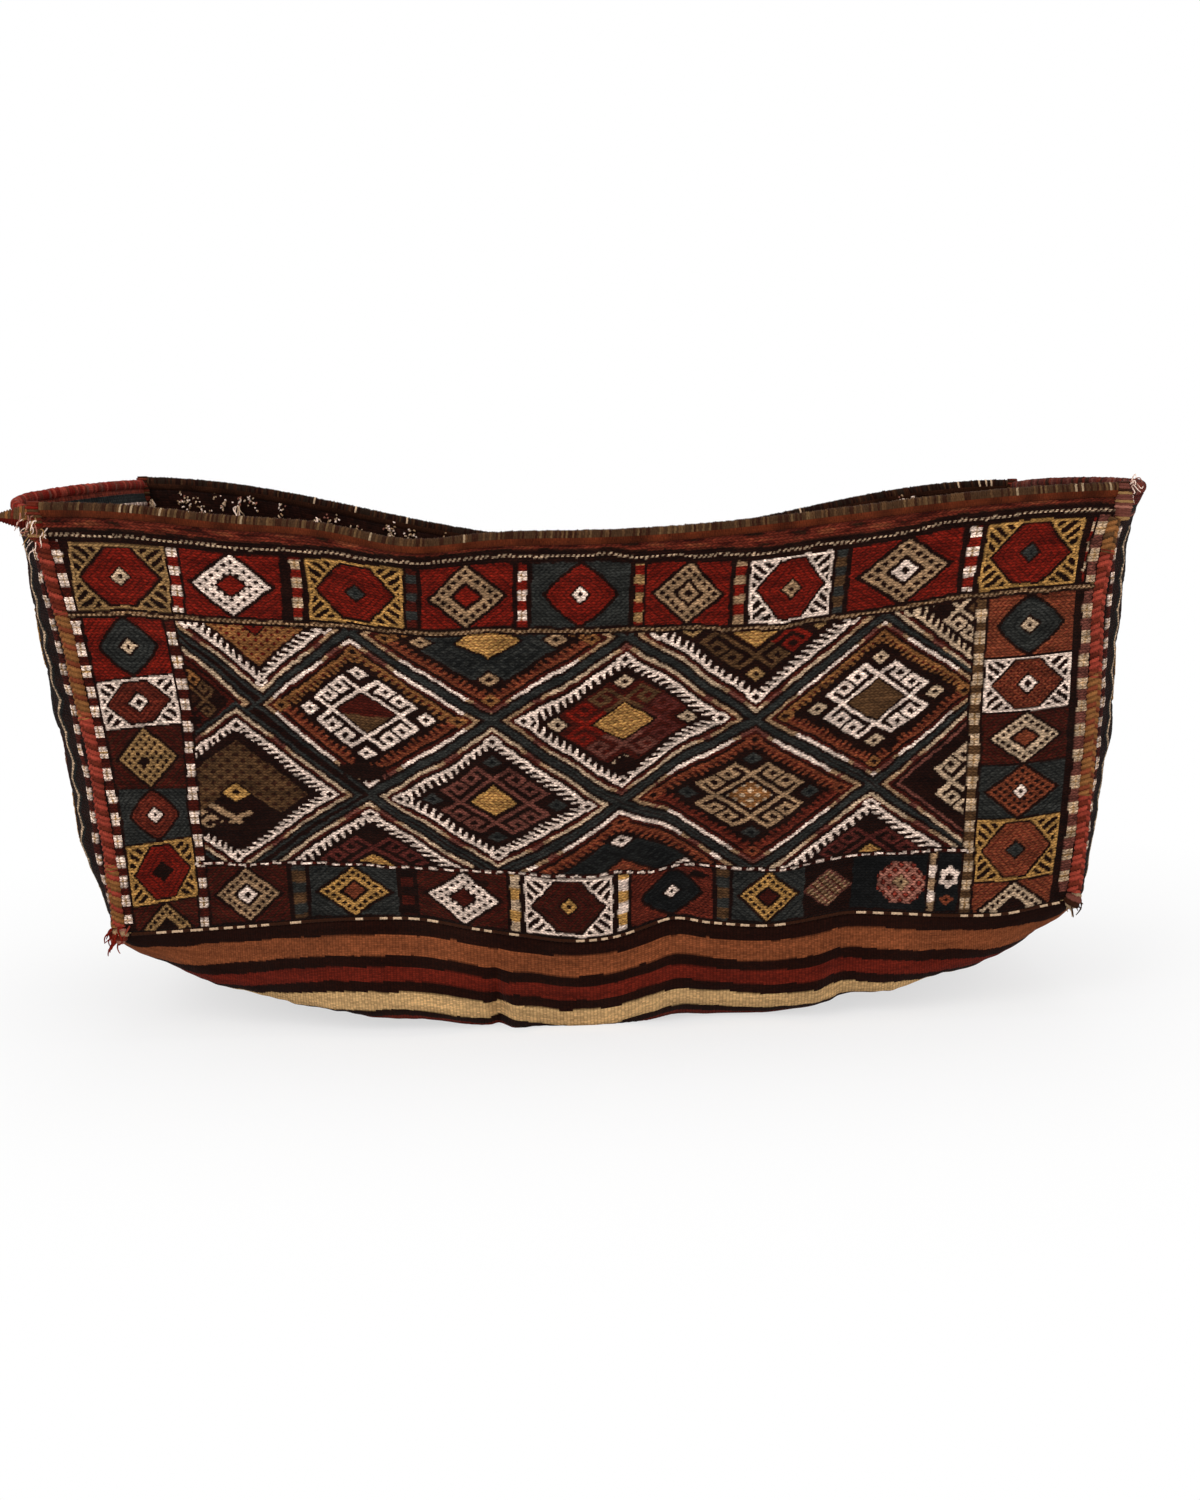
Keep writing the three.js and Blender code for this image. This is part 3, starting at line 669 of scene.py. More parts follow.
soumakWool = woolMaterial(
    "soumakWool", slant=0.75, gap=0.78, uneven=0.6, depth=0.0015, fade=0.35, fibre=0.45
)
soumakReverse = woolMaterial("soumakReverse", gap=0.4, uneven=0.8, depth=0.0008, fade=0.5, fibre=0.5)
kilimWool = woolMaterial("kilimWool", gap=0.6, uneven=0.5, depth=0.0008, fade=0.4, fibre=0.4)
goatHair = woolMaterial("goatHair", gap=0.2, depth=0.0002, fibre=0.5)
hemWool = woolMaterial("hemWool", gap=0.2, depth=0.0003, fibre=0.3)
braidWool = woolMaterial("braidWool", gap=0.2, depth=0.0002, fibre=0.35)
sewingWool = woolMaterial("sewingWool", gap=0.2, depth=0.0002, fibre=0.3)
whippingYarn = woolMaterial("whippingYarn", gap=0.2, depth=0.0002, fibre=0.35)
knotYarn = woolMaterial("knotYarn", gap=0.2, depth=0.0002, fibre=0.35)
print("materials ready")

# The pattern of the front, in millimetres of flat cloth: u from the left seam, v down from the top of the
# binding

pattern = {
    "width": 1050,
    "rimBinding": 14,
    "height": 424,
    "redBand": (8, 23),
    "topTwine": 29,
    "topBorder": (36, 99),
    "lowTwine": 103.5,
    "field": (107, 356),
    "dashLine": 358,
    "bottomBorder": (361, 419),
    "foot": 421,
    "left": 20,  # outer edges of the side columns
    "right": 1024,
}
innerLeftEdge = [(90, 107), (165, 108), (270, 101), (424, 96)]  # v, u
innerRightEdge = [(90, 929), (200, 927), (300, 927), (424, 932)]
topWave = [  # how far the upper lines sink along u
    (0, 1.5), (160, 1.5), (250, 1.5), (300, -1.5), (350, -5), (400, -6), (450, -5), (540, -4.5),
    (600, -0.5), (650, 3), (700, 5.5), (770, 5), (840, 3), (890, -2), (950, -4), (1050, -3.5),
]
bottomWave = [
    (0, -3), (100, -3), (190, 0), (230, 2), (280, 4), (310, 6), (350, 2), (400, -1), (450, -4),
    (520, -6), (560, -4), (600, 6), (640, 2), (700, 3), (760, 4), (800, 3), (840, 2), (880, -1),
    (920, -3), (1050, -3),
]


def lay(ink, where, wool):
    ink[where] = woolNames.index(wool)


# Diamond measure: the two shares of the way out added up, so that 1 is its edge
def rhomb(x, y, halfWide, halfHigh):
    return np.abs(x) / halfWide + np.abs(y) / halfHigh


ringWools = {  # the darker wool beside each plain one
    "red": "garnet", "brick": "maroon", "rust": "brick", "maroon": "umber", "slate": "slateDark",
    "blueBlack": "slateDark", "ochre": "rust", "khaki": "ochre", "gold": "ochre",
}


# Rows of wrapped wool that follow an outline: a darker line every few millimetres of depth
def layRings(ink, where, depth, wool, pitch=5.4, share=0.3):
    if wool in ringWools:
        lay(ink, where & (depth / pitch % 1 < share), ringWools[wool])


# Wools laid one inside the other: each where a measure is under its limit
def layInside(ink, where, measure, *steps):
    for limit, wool in steps:
        lay(ink, where & (measure < limit), wool)


# Small diamond with a dark edge and a dark eye
def layHeart(ink, where, x, y, halfWide, halfHigh, wool, eye="ground"):
    layInside(ink, where, rhomb(x, y, halfWide, halfHigh), (1.34, "ground"), (1, wool), (0.36, eye))


# Shares of the way across a diamond along its two pairs of sides
def diagonals(x, y, halfWide, halfHigh):
    return x / halfWide + y / halfHigh, x / halfWide - y / halfHigh


# A dark dot in the middle of each cell of a net; size is half the dot's share of the cell
def layDots(ink, where, p, q, pitch, wool="ground", size=0.25):
    dots = (np.abs(p / pitch % 1 - 0.5) < size) & (np.abs(q / pitch % 1 - 0.5) < size)
    lay(ink, where & dots, wool)


framed = {
    "wide": 0.82,  # hexagon, in shares of the compartment
    "high": 1.3,
    "edge": 2.6,  # frame, in millimetres
    "slope": (0.79, 0.62),  # strokes in the corners
    "pitch": 8.0,
    "share": 0.42,
}


# Compartment with a light frame, strokes in its corners that point to the middle, and a hexagon
def layFramed(ink, where, x, y, halfWide, halfHigh, light, figure, heart):
    edge = np.minimum(halfWide - np.abs(x), halfHigh - np.abs(y))
    r = rhomb(x, y, framed["wide"] * halfWide, framed["high"] * halfHigh)
    rise, run = framed["slope"]
    strokes = (rise * np.abs(y) - run * np.abs(x)) / framed["pitch"] % 1 < framed["share"]
    lay(ink, where, "ground")
    lay(ink, where & ((edge < framed["edge"]) | strokes | (r < 1.17)), light)
    lay(ink, where & (r < 1.09) & (edge > 2.0), "ground")
    hexagon = where & (r < 0.99) & (edge > 4.2)
    lay(ink, hexagon, figure)
    layRings(ink, hexagon, r * 0.62 * halfWide, figure)
    layHeart(ink, where, x, y, 9, 8, heart, "slateDark" if heart == "slate" else "ground")


# Net diamond: a row of holes between two outlines, then a dark ring and the heart.
# A white one has dots all over outside its ring, and one without a ring is net all over.
def layNet(ink, where, x, y, halfWide, halfHigh, ground, net, heart, hole=0.42):
    wide, high = 0.76 * halfWide, 0.92 * halfHigh
    r = rhomb(x, y, wide, high)
    p, q = diagonals(x, y, wide, high)
    lay(ink, where, ground)
    layRings(ink, where & (r > 1.25), r * 0.6 * halfWide, ground, 7.0)
    layInside(ink, where, r, (1.22, "ground"), (1.06, net))
    if hole and net != "white":
        layDots(ink, where & (r > 2 / 3) & (r < 1), p, q, 1 / 3, size=0.31)
        ring = 1.25
    else:
        layDots(ink, where & (r < 1), p, q, 1 / 3, size=0.25 if hole else 0.29)
        ring = 1.1
    layInside(ink, where, r, (ring * hole, "ground"), (0.85 * hole, heart))
    if heart in ("tan", "white"):
        lay(ink, where & (r < 0.15), "ground")


# Solid diamond with soft corners on a plain ground
def laySolid(ink, where, x, y, halfWide, halfHigh, ground, figure, heart):
    r = (np.abs(x) / (0.7 * halfWide)) ** 1.2 + (np.abs(y) / (0.92 * halfHigh)) ** 1.2
    depth = r * 0.55 * halfWide
    lay(ink, where, ground)
    layRings(ink, where & (r > 1.2), depth, ground)
    layInside(ink, where, r, (1.16, "ground"), (1, figure))
    layRings(ink, where & (r < 1), depth, figure)
    layHeart(ink, where, x, y, 8.5, 7.5, heart)


# Honeycomb: the whole diamond is net
def layHoneycomb(ink, where, x, y, halfWide, halfHigh, ground, net, heart):
    layNet(ink, where, x, y, halfWide, halfHigh, ground, net, net, 0)
    if heart:
        layHeart(ink, where, x, y, 8, 7, heart)


# Light frame with strokes round a honeycomb diamond
def layFramedNet(ink, where, x, y, halfWide, halfHigh, light, net, heart):
    layFramed(ink, where, x, y, halfWide, halfHigh, light, net, heart)
    wide, high = framed["wide"] * halfWide, framed["high"] * halfHigh
    inner = where & (rhomb(x, y, wide, high) < 0.97) & (np.abs(y) < halfHigh - 5)
    layDots(ink, inner, *diagonals(x, y, wide, high), 0.2, "maroon")
    layHeart(ink, where, x, y, 10, 8.5, heart)
    lay(ink, where & (rhomb(x, y, 10, 8.5) < 0.5), "ground")


# Stepped medallion right of the middle: a diamond in small steps, net all over, round a heart with an eye
def layMedallion(ink, where, x, y, halfWide, halfHigh, ground, figure, heart):
    step, wide, high = 3.4, 0.78 * halfWide, 1.1 * halfHigh
    x = x - 0.3 * halfWide
    a, b = np.round(x / step) * step, np.round(y / step) * step
    r = rhomb(a, b, wide, high)
    full = where & (r < 1) & (np.abs(a) < 0.64 * halfWide) & (np.abs(b) < 0.8 * halfHigh)
    lay(ink, where, ground)
    lay(ink, full, figure)
    for wool, size in (("maroon", 0.34), ("coral", 0.17)):
        layDots(ink, full & (r < 0.97), *diagonals(x, y, wide, high), 0.4, wool, size)
    layInside(ink, where, r, (0.3, "garnet"), (0.22, heart), (0.08, "ground"))


# Diagonal plaid inside a diamond
def layHatched(ink, where, x, y, halfWide, halfHigh, ground, figure, heart):
    r = rhomb(x, y, 1.02 * halfWide, 0.75 * halfHigh)
    lean = (x - 0.9 * y) / 11 % 1
    lay(ink, where, ground)
    lay(ink, where & (r < 1), figure)
    inner = where & (r < 0.94)
    lay(ink, inner & (lean < 0.5), "olive")
    lay(ink, inner & ((x + 1.6 * y) / 9.5 % 1 < 0.33), heart)
    lay(ink, inner & (lean > 0.85), "maroon")


# Flower ring over a small diamond
def layFlower(ink, where, x, y, halfWide, halfHigh, ground, figure, heart):
    ring = np.hypot(x, y + 6) * (1 + 0.16 * np.cos(6 * np.arctan2(y + 6, x)))
    lay(ink, where, ground)
    layInside(ink, where, ring, (10, figure), (4, "ground"))
    layInside(ink, where, rhomb(x, y - 17, 9, 6), (1, heart), (0.35, "ground"))


layers = {
    "framed": layFramed,
    "net": layNet,
    "solid": laySolid,
    "honeycomb": layHoneycomb,
    "framedNet": layFramedNet,
    "medallion": layMedallion,
    "hatched": layHatched,
    "flower": layFlower,
}

topRow = [  # left, right, kind, ground or frame, figure, heart
    (22, 115, "framed", "khaki", "red", "beige"),
    (130, 226, "net", "red", "white", "red"),
    (252, 347, "framed", "gold", "red", "slate"),
    (364, 455, "net", "red", "tan", "red"),
    (474, 571, "solid", "slate", "red", "white"),
    (588, 672, "net", "red", "tan", "tan"),
    (692, 774, "framed", "white", "red", "tan"),
    (793, 901, "net", "red", "tan", "white"),
    (925, 1021, "framed", "gold", "red", "slate"),
]
topBars = [  # middle, width, light wool, dark wool
    (122, 10, "white", "red"),
    (241, 9, "beige", "red"),
    (355, 10, "slate", "maroon"),
    (465, 9, "white", "red"),
    (581, 9, "khaki", "red"),
    (682, 10, "tan", "red"),
    (783, 10, "slate", "olive"),
    (913, 11, "white", "red"),
    (1034, 11, "beige", "red"),
]
bottomRow = [
    (104, 191, "net", "maroon", "tan", "white"),
    (216, 312, "net", "slate", "gold", "rust"),
    (335, 432, "net", "maroon", "white", "maroon"),
    (452, 548, "framed", "white", "maroon", "gold"),
    (568, 656, "solid", "brick", "blueBlack", "white"),
    (677, 755, "net", "slate", "gold", "maroon"),
    (755, 806, "hatched", "ground", "mauve", "tan"),
    (806, 888, "medallion", "blueBlack", "pink", "tan"),
    (898, 923, "flower", "blueBlack", "white", "rust"),
]
bottomBars = [
    (204, 14, "olive", "slate"),
    (323, 14, "maroon", "ground"),
    (441, 10, "gold", "beige"),
    (559, 10, "gold", "white"),
    (667, 12, "olive", "slate"),
    (892, 7, "tan", "white"),
]
leftColumn = [  # top edge, how much it falls to the right, kind, ground, figure, heart
    (106, 0, "solid", "red", "slate", "beige"),
    (166, -9, "framedNet", "white", "brick", "white"),
    (215, -7, "honeycomb", "maroon", "khaki", None),
    (276, 0, "solid", "slate", "brick", "white"),
    (330, -8, "framed", "gold", "red", "ground"),
    (393, -9, "net", "maroon", "khaki", "ground"),
]
rightColumn = [
    (102, 0, "solid", "rust", "slate", "beige"),
    (162, 0, "framedNet", "white", "rust", "white"),
    (217, 2, "net", "maroon", "beige", "rust"),
    (269, 2, "honeycomb", "slate", "rust", "white"),
    (325, 3, "framed", "gold", "rust", "slate"),
    (390, 3, "net", "rust", "beige", "ground"),
]
columnFoot = 448  # the last compartments run on below the seam

# Diamonds of the field by their corners, left, top, right and bottom, in millimetres of flat cloth
fieldDiamonds = [
    {"at": [(28, 188), (106, 116), (184, 188), (106, 250)], "comb": "line", "teeth": "maroon",
     "fill": "hooks", "wool": ["ochre", "ochre", "olive", "maroon"], "heart": "umber"},
    {"at": [(100, 109), (193, 34), (288, 109), (190, 184)], "comb": "saw", "teeth": "white",
     "fill": "honeycomb", "wool": "ochre", "heart": "red", "dots": "garnet"},
    {"at": [(288, 109), (428, 25), (568, 107), (425, 190)], "comb": "comb", "teeth": "ochre",
     "lower": "rust", "fill": "blob", "wool": "slate", "heart": "gold", "small": "tan"},
    {"at": [(568, 107), (698, 25), (831, 111), (698, 202)], "comb": "saw", "teeth": "white",
     "fill": "hooks", "wool": ["olive", "olive", "red", "olive"], "heart": "gold", "small": "khaki"},
    {"at": [(831, 111), (935, 30), (1040, 110), (935, 193)], "comb": "saw", "teeth": "beige",
     "fill": "hooks", "wool": "beige", "heart": "olive"},
    {"at": [(178, 189), (288, 109), (425, 190), (289, 285)], "comb": "comb", "teeth": "ochre",
     "lower": "rust", "fill": "hooks", "wool": "white", "heart": "olive", "upper": "maroon",
     "heartSize": 0.235, "small": "white"},
    {"at": [(425, 190), (568, 107), (698, 202), (560, 277)], "comb": "saw", "teeth": "white",
     "fill": "hooks", "wool": ["red", "olive", "plum", "mauve"], "core": "maroon", "heart": "gold",
     "heartSize": 0.22, "small": "beige"},
    {"at": [(698, 202), (832, 111), (945, 189), (821, 283)], "comb": "comb", "teeth": "ochre",
     "lower": "rust", "fill": "hooks", "wool": "white", "heart": "olive", "heartSize": 0.235,
     "small": "beige"},
    {"at": [(10, 283), (162, 187), (281, 286), (138, 369)], "comb": "saw", "teeth": "white",
     "fill": "pieces", "wool": "olive", "heart": "gold", "dots": "umber"},
    {"at": [(289, 285), (425, 190), (558, 277), (425, 357)], "comb": "saw", "teeth": "white",
     "fill": "hooks", "wool": "mauve", "heart": "gold", "small": "slate"},
    {"at": [(559, 278), (698, 202), (821, 285), (697, 361)], "comb": "comb", "teeth": "rust",
     "lower": "brick", "fill": "hooks", "wool": "tan", "heart": "ochre", "dots": "beige",
     "small": "slate"},
    {"at": [(821, 284), (937, 190), (1050, 283), (945, 372)], "comb": "line", "teeth": "mauve",
     "fill": "hooks", "wool": "beige", "heart": "ground"},
    {"at": [(152, 368), (288, 285), (428, 362), (288, 440)], "comb": "saw", "teeth": "white",
     "fill": "hooks", "wool": "plum", "heart": "gold"},
    {"at": [(425, 358), (557, 278), (697, 362), (560, 440)], "comb": "comb", "teeth": "rust",
     "lower": "brick", "fill": "blob", "wool": "slateDark", "heart": "rust", "small": "white"},
    {"at": [(697, 362), (820, 285), (958, 370), (822, 440)], "comb": "saw", "teeth": "white",
     "fill": "hooks", "wool": "plum", "heart": "gold"},
]


# Place inside a diamond: from its middle, shares of the way to the corner on each side.
# The diamond's edge is where the two shares add up to 1.
def diamondShares(u, v, corners):
    west, north, east, south = (np.array(c, float) for c in corners)
    middle = (west + north + east + south) / 4
    du, dv = u - middle[0], v - middle[1]
    across, down = np.zeros_like(u), np.zeros_like(v)
    for side, signX in ((east, 1), (west, -1)):
        for end, signY in ((south, 1), (north, -1)):
            a, b = side - middle, end - middle
            area = a[0] * b[1] - a[1] * b[0]
            shareA = (du * b[1] - dv * b[0]) / area
            shareB = (a[0] * dv - a[1] * du) / area
            here = (shareA >= 0) & (shareB >= 0)
            across[here] = signX * shareA[here]
            down[here] = signY * shareB[here]
    reach = np.linalg.norm(east - west) * np.linalg.norm(south - north)
    reach = reach / np.hypot(*(east - north)) / 4  # millimetres from the middle to a side
    return across, down, reach


hooks = {  # key pattern in shares of the way from the middle of a diamond to its side
    "frame": 0.28,
    "arm": 0.545,
    "inner": 0.045,
    "curl": 0.40,
    "tongue": 0.17,
    "tip": 0.485,
    "line": 0.027,  # half the width of a line
    "small": 0.49,
    "smallHalf": 0.08,
    "heart": 0.19,
}


# Key hooks round a square frame, drawn in one eighth of the diamond and mirrored to the rest:
# an arm runs out from each corner of the frame, turns towards the middle of the side and curls back
def hookStrokes(high, low):
    h, half = hooks, hooks["line"]

    def stroke(alongHigh, alongLow):
        return (
            (high > alongHigh[0] - half) & (high < alongHigh[1] + half)
            & (low > alongLow[0] - half) & (low < alongLow[1] + half)
        )

    return (
        stroke((h["frame"], h["frame"]), (0, h["frame"]))
        | stroke((h["frame"], h["arm"]), (h["frame"], h["frame"]))
        | stroke((h["arm"], h["arm"]), (h["inner"], h["frame"]))
        | stroke((h["curl"], h["arm"]), (h["inner"], h["inner"]))
        | stroke((h["curl"], h["curl"]), (h["inner"], h["tongue"]))
        | stroke((h["curl"], h["tip"]), (h["tongue"], h["tongue"]))
    )


teethRows = {  # millimetres of cloth
    "band": 3,
    "saw": {"pitch": 7.2, "length": 10.5, "swing": 1.6},
    "comb": {"pitch": 6.2, "length": 9.5, "swing": 1.4},
}


# Teeth round a diamond: a band with slanted leaves, a band with straight teeth, or a band alone
def layTeeth(ink, inside, tooth, along, across, down, d):
    band = inside & (tooth > 0) & (tooth < teethRows["band"])
    lay(ink, band, d["teeth"])
    if d["comb"] == "line":
        return
    row = teethRows[d["comb"]]
    if d["comb"] == "saw":
        place = (along + 0.55 * tooth * np.sign(across)) / row["pitch"]
        length = row["length"] + row["swing"] * np.sin(12.9 * np.floor(place))
        leaf = np.abs(place % 1 - 0.5) < 0.33 - 0.019 * tooth
        lay(ink, inside & (tooth >= 2.8) & (tooth < length) & leaf, d["teeth"])
        return
    place = along / row["pitch"]
    length = row["length"] + row["swing"] * np.sin(7.7 * np.floor(place))
    under = inside & (tooth >= teethRows["band"])
    bars = under & (tooth < length) & (place % 1 < 0.5)
    lay(ink, under & (tooth < 2 * teethRows["band"]), "maroon")
    lay(ink, bars, d["teeth"])
    lay(ink, (bars | band) & (down > 0), d["lower"])


diamond = {
    "slate": 3.5,  # millimetres in from the edge where each band ends
    "dark": 6.0,
    "outline": 9.3,
    "maroon": 12.2,
    "teeth": 14.8,
    "corner": 0.745,  # the rest in shares of the way from the middle to a side
    "core": 0.63,
    "blob": (0.6, 0.42),
    "blobHeart": 0.23,
    "net": 0.52,
    "netHeart": 0.11,
}


# One diamond of the field: the shared slate band, its outlines, its teeth and its inside
def layDiamond(ink, where, u, v, d, seed):
    across, down, reach = diamondShares(u, v, d["at"])
    r = np.abs(across) + np.abs(down)
    p, q = across + down, across - down
    high, low = np.maximum(np.abs(p), np.abs(q)), np.minimum(np.abs(p), np.abs(q))
    inside = where & (r < 1)
    deep = (1 - r) * reach  # millimetres in from the edge
    along = (np.abs(across) - np.abs(down)) * reach
    phase = np.random.default_rng(seed).uniform(0, 6)
    worn = np.sin(along / 17 + phase) + 0.5 * np.sin(along / 7.3 + 2 * phase)
    outline = inside & (deep > diamond["dark"])
    lay(ink, inside, "slate")
    layRings(ink, inside, deep + 0.6, "slate", 3.0)
    lay(ink, inside & (deep > diamond["slate"]), "ground")
    lay(ink, outline, "white" if d["comb"] == "comb" else "beige")
    lay(ink, outline & (worn > 0.4), "tan")
    lay(ink, outline & (worn > 1.05), "mauve")
    lay(ink, inside & (deep > diamond["outline"]), "maroon")
    lay(ink, inside & (deep > diamond["maroon"]), "ground")
    layTeeth(ink, inside, deep - diamond["teeth"], along, across, down, d)
    if d["comb"] != "line":
        corner = np.maximum(np.abs(high - diamond["corner"]), np.abs(low - diamond["corner"]))
        layInside(ink, inside, corner, (0.075, d["teeth"]), (0.035, "ground"))

    core = inside & (r < diamond["core"])
    if d["fill"] == "hooks":
        if "core" in d:
            lay(ink, core & (high < 0.6), d["core"])
        strokes = core & hookStrokes(high, low)
        turns = d["wool"] if isinstance(d["wool"], list) else [d["wool"]] * 4
        sideways = np.abs(across) > np.abs(down)
        quarters = (
            sideways & (across < 0), ~sideways & (down < 0),
            sideways & (across >= 0), ~sideways & (down >= 0),
        )
        for quarter, wool in zip(quarters, turns):
            lay(ink, strokes & quarter, wool)
        size = d.get("heartSize", hooks["heart"])
        heart = core & (high < size)
        layInside(ink, core, high, (size + 0.03, "ground"), (size, d["heart"]))
        if "upper" in d:
            lay(ink, heart & (down < 0.04), d["upper"])
        if "dots" in d:
            layDots(ink, heart, p, q, 0.13, d["dots"])
        else:
            layRings(ink, heart, high * reach, d["heart"], 4.4)
    elif d["fill"] == "blob":
        size = diamond["blobHeart"]
        blob = core & (high < diamond["blob"][0]) & (low < diamond["blob"][1])
        lay(ink, blob, d["wool"])
        layRings(ink, blob, high * reach, d["wool"])
        lay(ink, blob & hookStrokes(high * 1.05, low * 1.05), ringWools.get(d["wool"], "blueBlack"))
        layInside(ink, core, high, (size + 0.03, "ground"), (size, d["heart"]))
        layRings(ink, core & (high < size), high * reach, d["heart"], 4.4)
    else:
        full = core & (high < diamond["net"])
        if d["fill"] == "pieces":
            full = core & (high < 0.58) & ((q > 0.12) | (p < -0.1))
            lay(ink, core & hookStrokes(0.86 * high, 0.86 * low) & (q < -0.1) & (p < 0.4), "tan")
        size = diamond["netHeart"]
        lay(ink, full, d["wool"])
        layDots(ink, full, p, q, 0.12, d["dots"])
        layInside(ink, core, high, (size + 0.03, "ground"), (size, d["heart"]), (0.04, "ground"))
    if "small" in d:
        square = np.maximum(np.abs(high - hooks["small"]), np.abs(low - hooks["small"]))
        half = hooks["smallHalf"]
        eye = "ground" if d["small"] != "slate" else "blueBlack"
        layInside(ink, core, square, (half + 0.03, "ground"), (half, d["small"]), (0.4 * half, eye))


# Checked bar down the cloth: blocks of two wools between dark edges, parted by a thin line
def layBar(ink, where, x, v, width, light, dark, pitch=22.0, share=0.5, start=0.0):
    lay(ink, where & (np.abs(x) < width / 2 + 2.5), "ground")
    bar = where & (np.abs(x) < width / 2)
    lay(ink, bar, dark)
    turn = ((v - start) / pitch + 0.12 * np.sin(v / 31.0)) % 1
    lay(ink, bar & (turn < share), light)
    if light in ("white", "beige"):
        lay(ink, bar & (turn < share) & ((np.abs(x) < 0.7) | (np.abs(turn - share / 2) < 0.03)), "khaki")


# Twined line along the cloth: slanted ticks of two wools
def layTwine(ink, v, u, at, light, dark, half=1.8):
    lay(ink, np.abs(v - at) < 4, "ground")
    line = np.abs(v - at) < half
    lay(ink, line, dark)
    lay(ink, line & ((u + 0.9 * v) / 5.2 % 1 < 0.5), light)


# A compartment between two edges, in millimetres from its middle
def layCell(ink, where, u, v, low, high, kind, palette):
    x, y = u - (low[0] + high[0]) / 2, v - (low[1] + high[1]) / 2
    halfWide, halfHigh = (high[0] - low[0]) / 2, (high[1] - low[1]) / 2
    here = where & (np.abs(x) < halfWide) & (np.abs(y) < halfHigh)
    layers[kind](ink, here, x, y, halfWide, halfHigh, *palette)


wornSpots = [  # where the wrapping has worn off: u, v, half width, half height
    (287, 258, 24, 11), (128, 318, 12, 9), (562, 240, 16, 10), (115, 208, 7, 4), (640, 372, 9, 5),
    (405, 370, 10, 4), (838, 243, 9, 7), (54, 250, 6, 4),
]


# The whole front, in the order in which later wools cover earlier ones
def paintFront(a, v):
    u, v = frontPlaces(a, v)
    ink = np.zeros(u.shape, int)
    wobble = ripples(u, v, 11, 60, 0.8) + ripples(u, v, 15, 13, 0.45)
    sink = throughKnots(u, topWave)
    rise = throughKnots(u, bottomWave)
    # w and t are v and u with the waves of the cloth in them
    fieldShare = np.clip((v - 105) / 253, 0, 1)
    wave = lerp(sink, rise, fieldShare) * np.clip((pattern["foot"] - v) / 60, 0, 1)
    w = v - wave + wobble
    t = u + ripples(v, u, 12, 70, 0.8) + ripples(u, v, 16, 13, 0.45)

    low, high = pattern["redBand"]
    lay(ink, w < high, "umber")
    lay(ink, (w > low) & (w < high - 1), "brick")
    streak = ripples(u * 0.2, v, 13, 7, 1.0)
    lay(ink, (w > 14) & (w < 20) & (streak > 0.7), "rust")
    lay(ink, (w < 21) & (streak < -0.6), "maroon")
    lay(ink, (w < 21) & (streak < -1.2), "umber")

    leanTop = 8 * np.clip(1 - u / 900, 0, 1)
    uTop = t + leanTop * (w - 68) / 62
    low, high = pattern["topBorder"]
    border = (w > low) & (w < high)
    for start, end, kind, *palette in topRow:
        layCell(ink, border, uTop, w, (start, low), (end, high), kind, palette)
    for n, (at, width, light, dark) in enumerate(topBars):
        layBar(ink, border, uTop - at, w, width, light, dark, 19, 0.5, 37 + 3 * n)

    low, high = pattern["field"]
    innerLeft, innerRight = throughKnots(v, innerLeftEdge), throughKnots(v, innerRightEdge)
    between = (t > innerLeft) & (t < innerRight)
    field = (w > low) & (w < high) & between
    for n, d in enumerate(fieldDiamonds):
        layDiamond(ink, field, t, v + wobble, d, 40 + n)

    low, high = pattern["bottomBorder"]
    border = (w > low) & (w < high) & between
    for start, end, kind, *palette in bottomRow:
        layCell(ink, border, t, w, (start, low), (end, high), kind, palette)
    for n, (at, width, light, dark) in enumerate(bottomBars):
        layBar(ink, border, t - at, w, width, light, dark, 26, 0.5, 364 + 4 * n)

    for side, column in ((left, leftColumn), (right, rightColumn)):
        low, high = pattern["left"], innerLeft - 7
        if side == right:
            low, high = innerRight + 8, pattern["right"]
        half = (high - low) / 2
        x = t - (low + high) / 2
        for k, (top, fall, kind, *palette) in enumerate(column):
            nextTop, nextFall = column[k + 1][:2] if k + 1 < len(column) else (columnFoot, 0)
            upper = top + fall * x / 80
            lower = nextTop + nextFall * x / 80
            here = (v > upper + 1) & (v < lower - 1) & (np.abs(x) < half)
            here = here & (v > 104) & (w < pattern["foot"])
            halfHigh = (nextTop - top) / 2 - 1
            layers[kind](ink, here, x, v - (upper + lower) / 2, half, halfHigh, *palette)
    barLow = (w > 101) & (v < pattern["foot"])
    layBar(ink, barLow, t - innerLeft, v, 9, "white", "maroon", 22.6, 0.5, 119)
    layBar(ink, barLow, t - innerRight, v, 10, "beige", "olive", 21.0, 0.55, 112)
    sides = (w > 34) & (v < 412)
    layBar(ink, sides, t - 12, v, 9, "white", "maroon", 21.0, 0.55, 47)
    layBar(ink, sides, t - 1038, v, 10, "beige", "mauve", 25.0, 0.5, 40)

    layTwine(ink, w, t, pattern["topTwine"], "beige", "umber", 1.2)
    layTwine(ink, w, t, pattern["lowTwine"], "tan", "olive", 1.5)
    for x, y, wide, high in wornSpots:
        spot = np.hypot((u - x) / wide, (v - y) / high) + ripples(u, v, 14, 9, 0.22)
        lay(ink, spot < 1, "ground")
    off = np.abs(w - pattern["dashLine"])
    dash = (off < 1.0) & (t > innerLeft - 6) & (t < innerRight)
    lay(ink, (off < 3) & between, "ground")
    lay(ink, dash, "maroon")
    lay(ink, dash & ((t / 14 + 0.3 * np.sin(t / 23)) % 1 < 0.62), "white")
    return ink


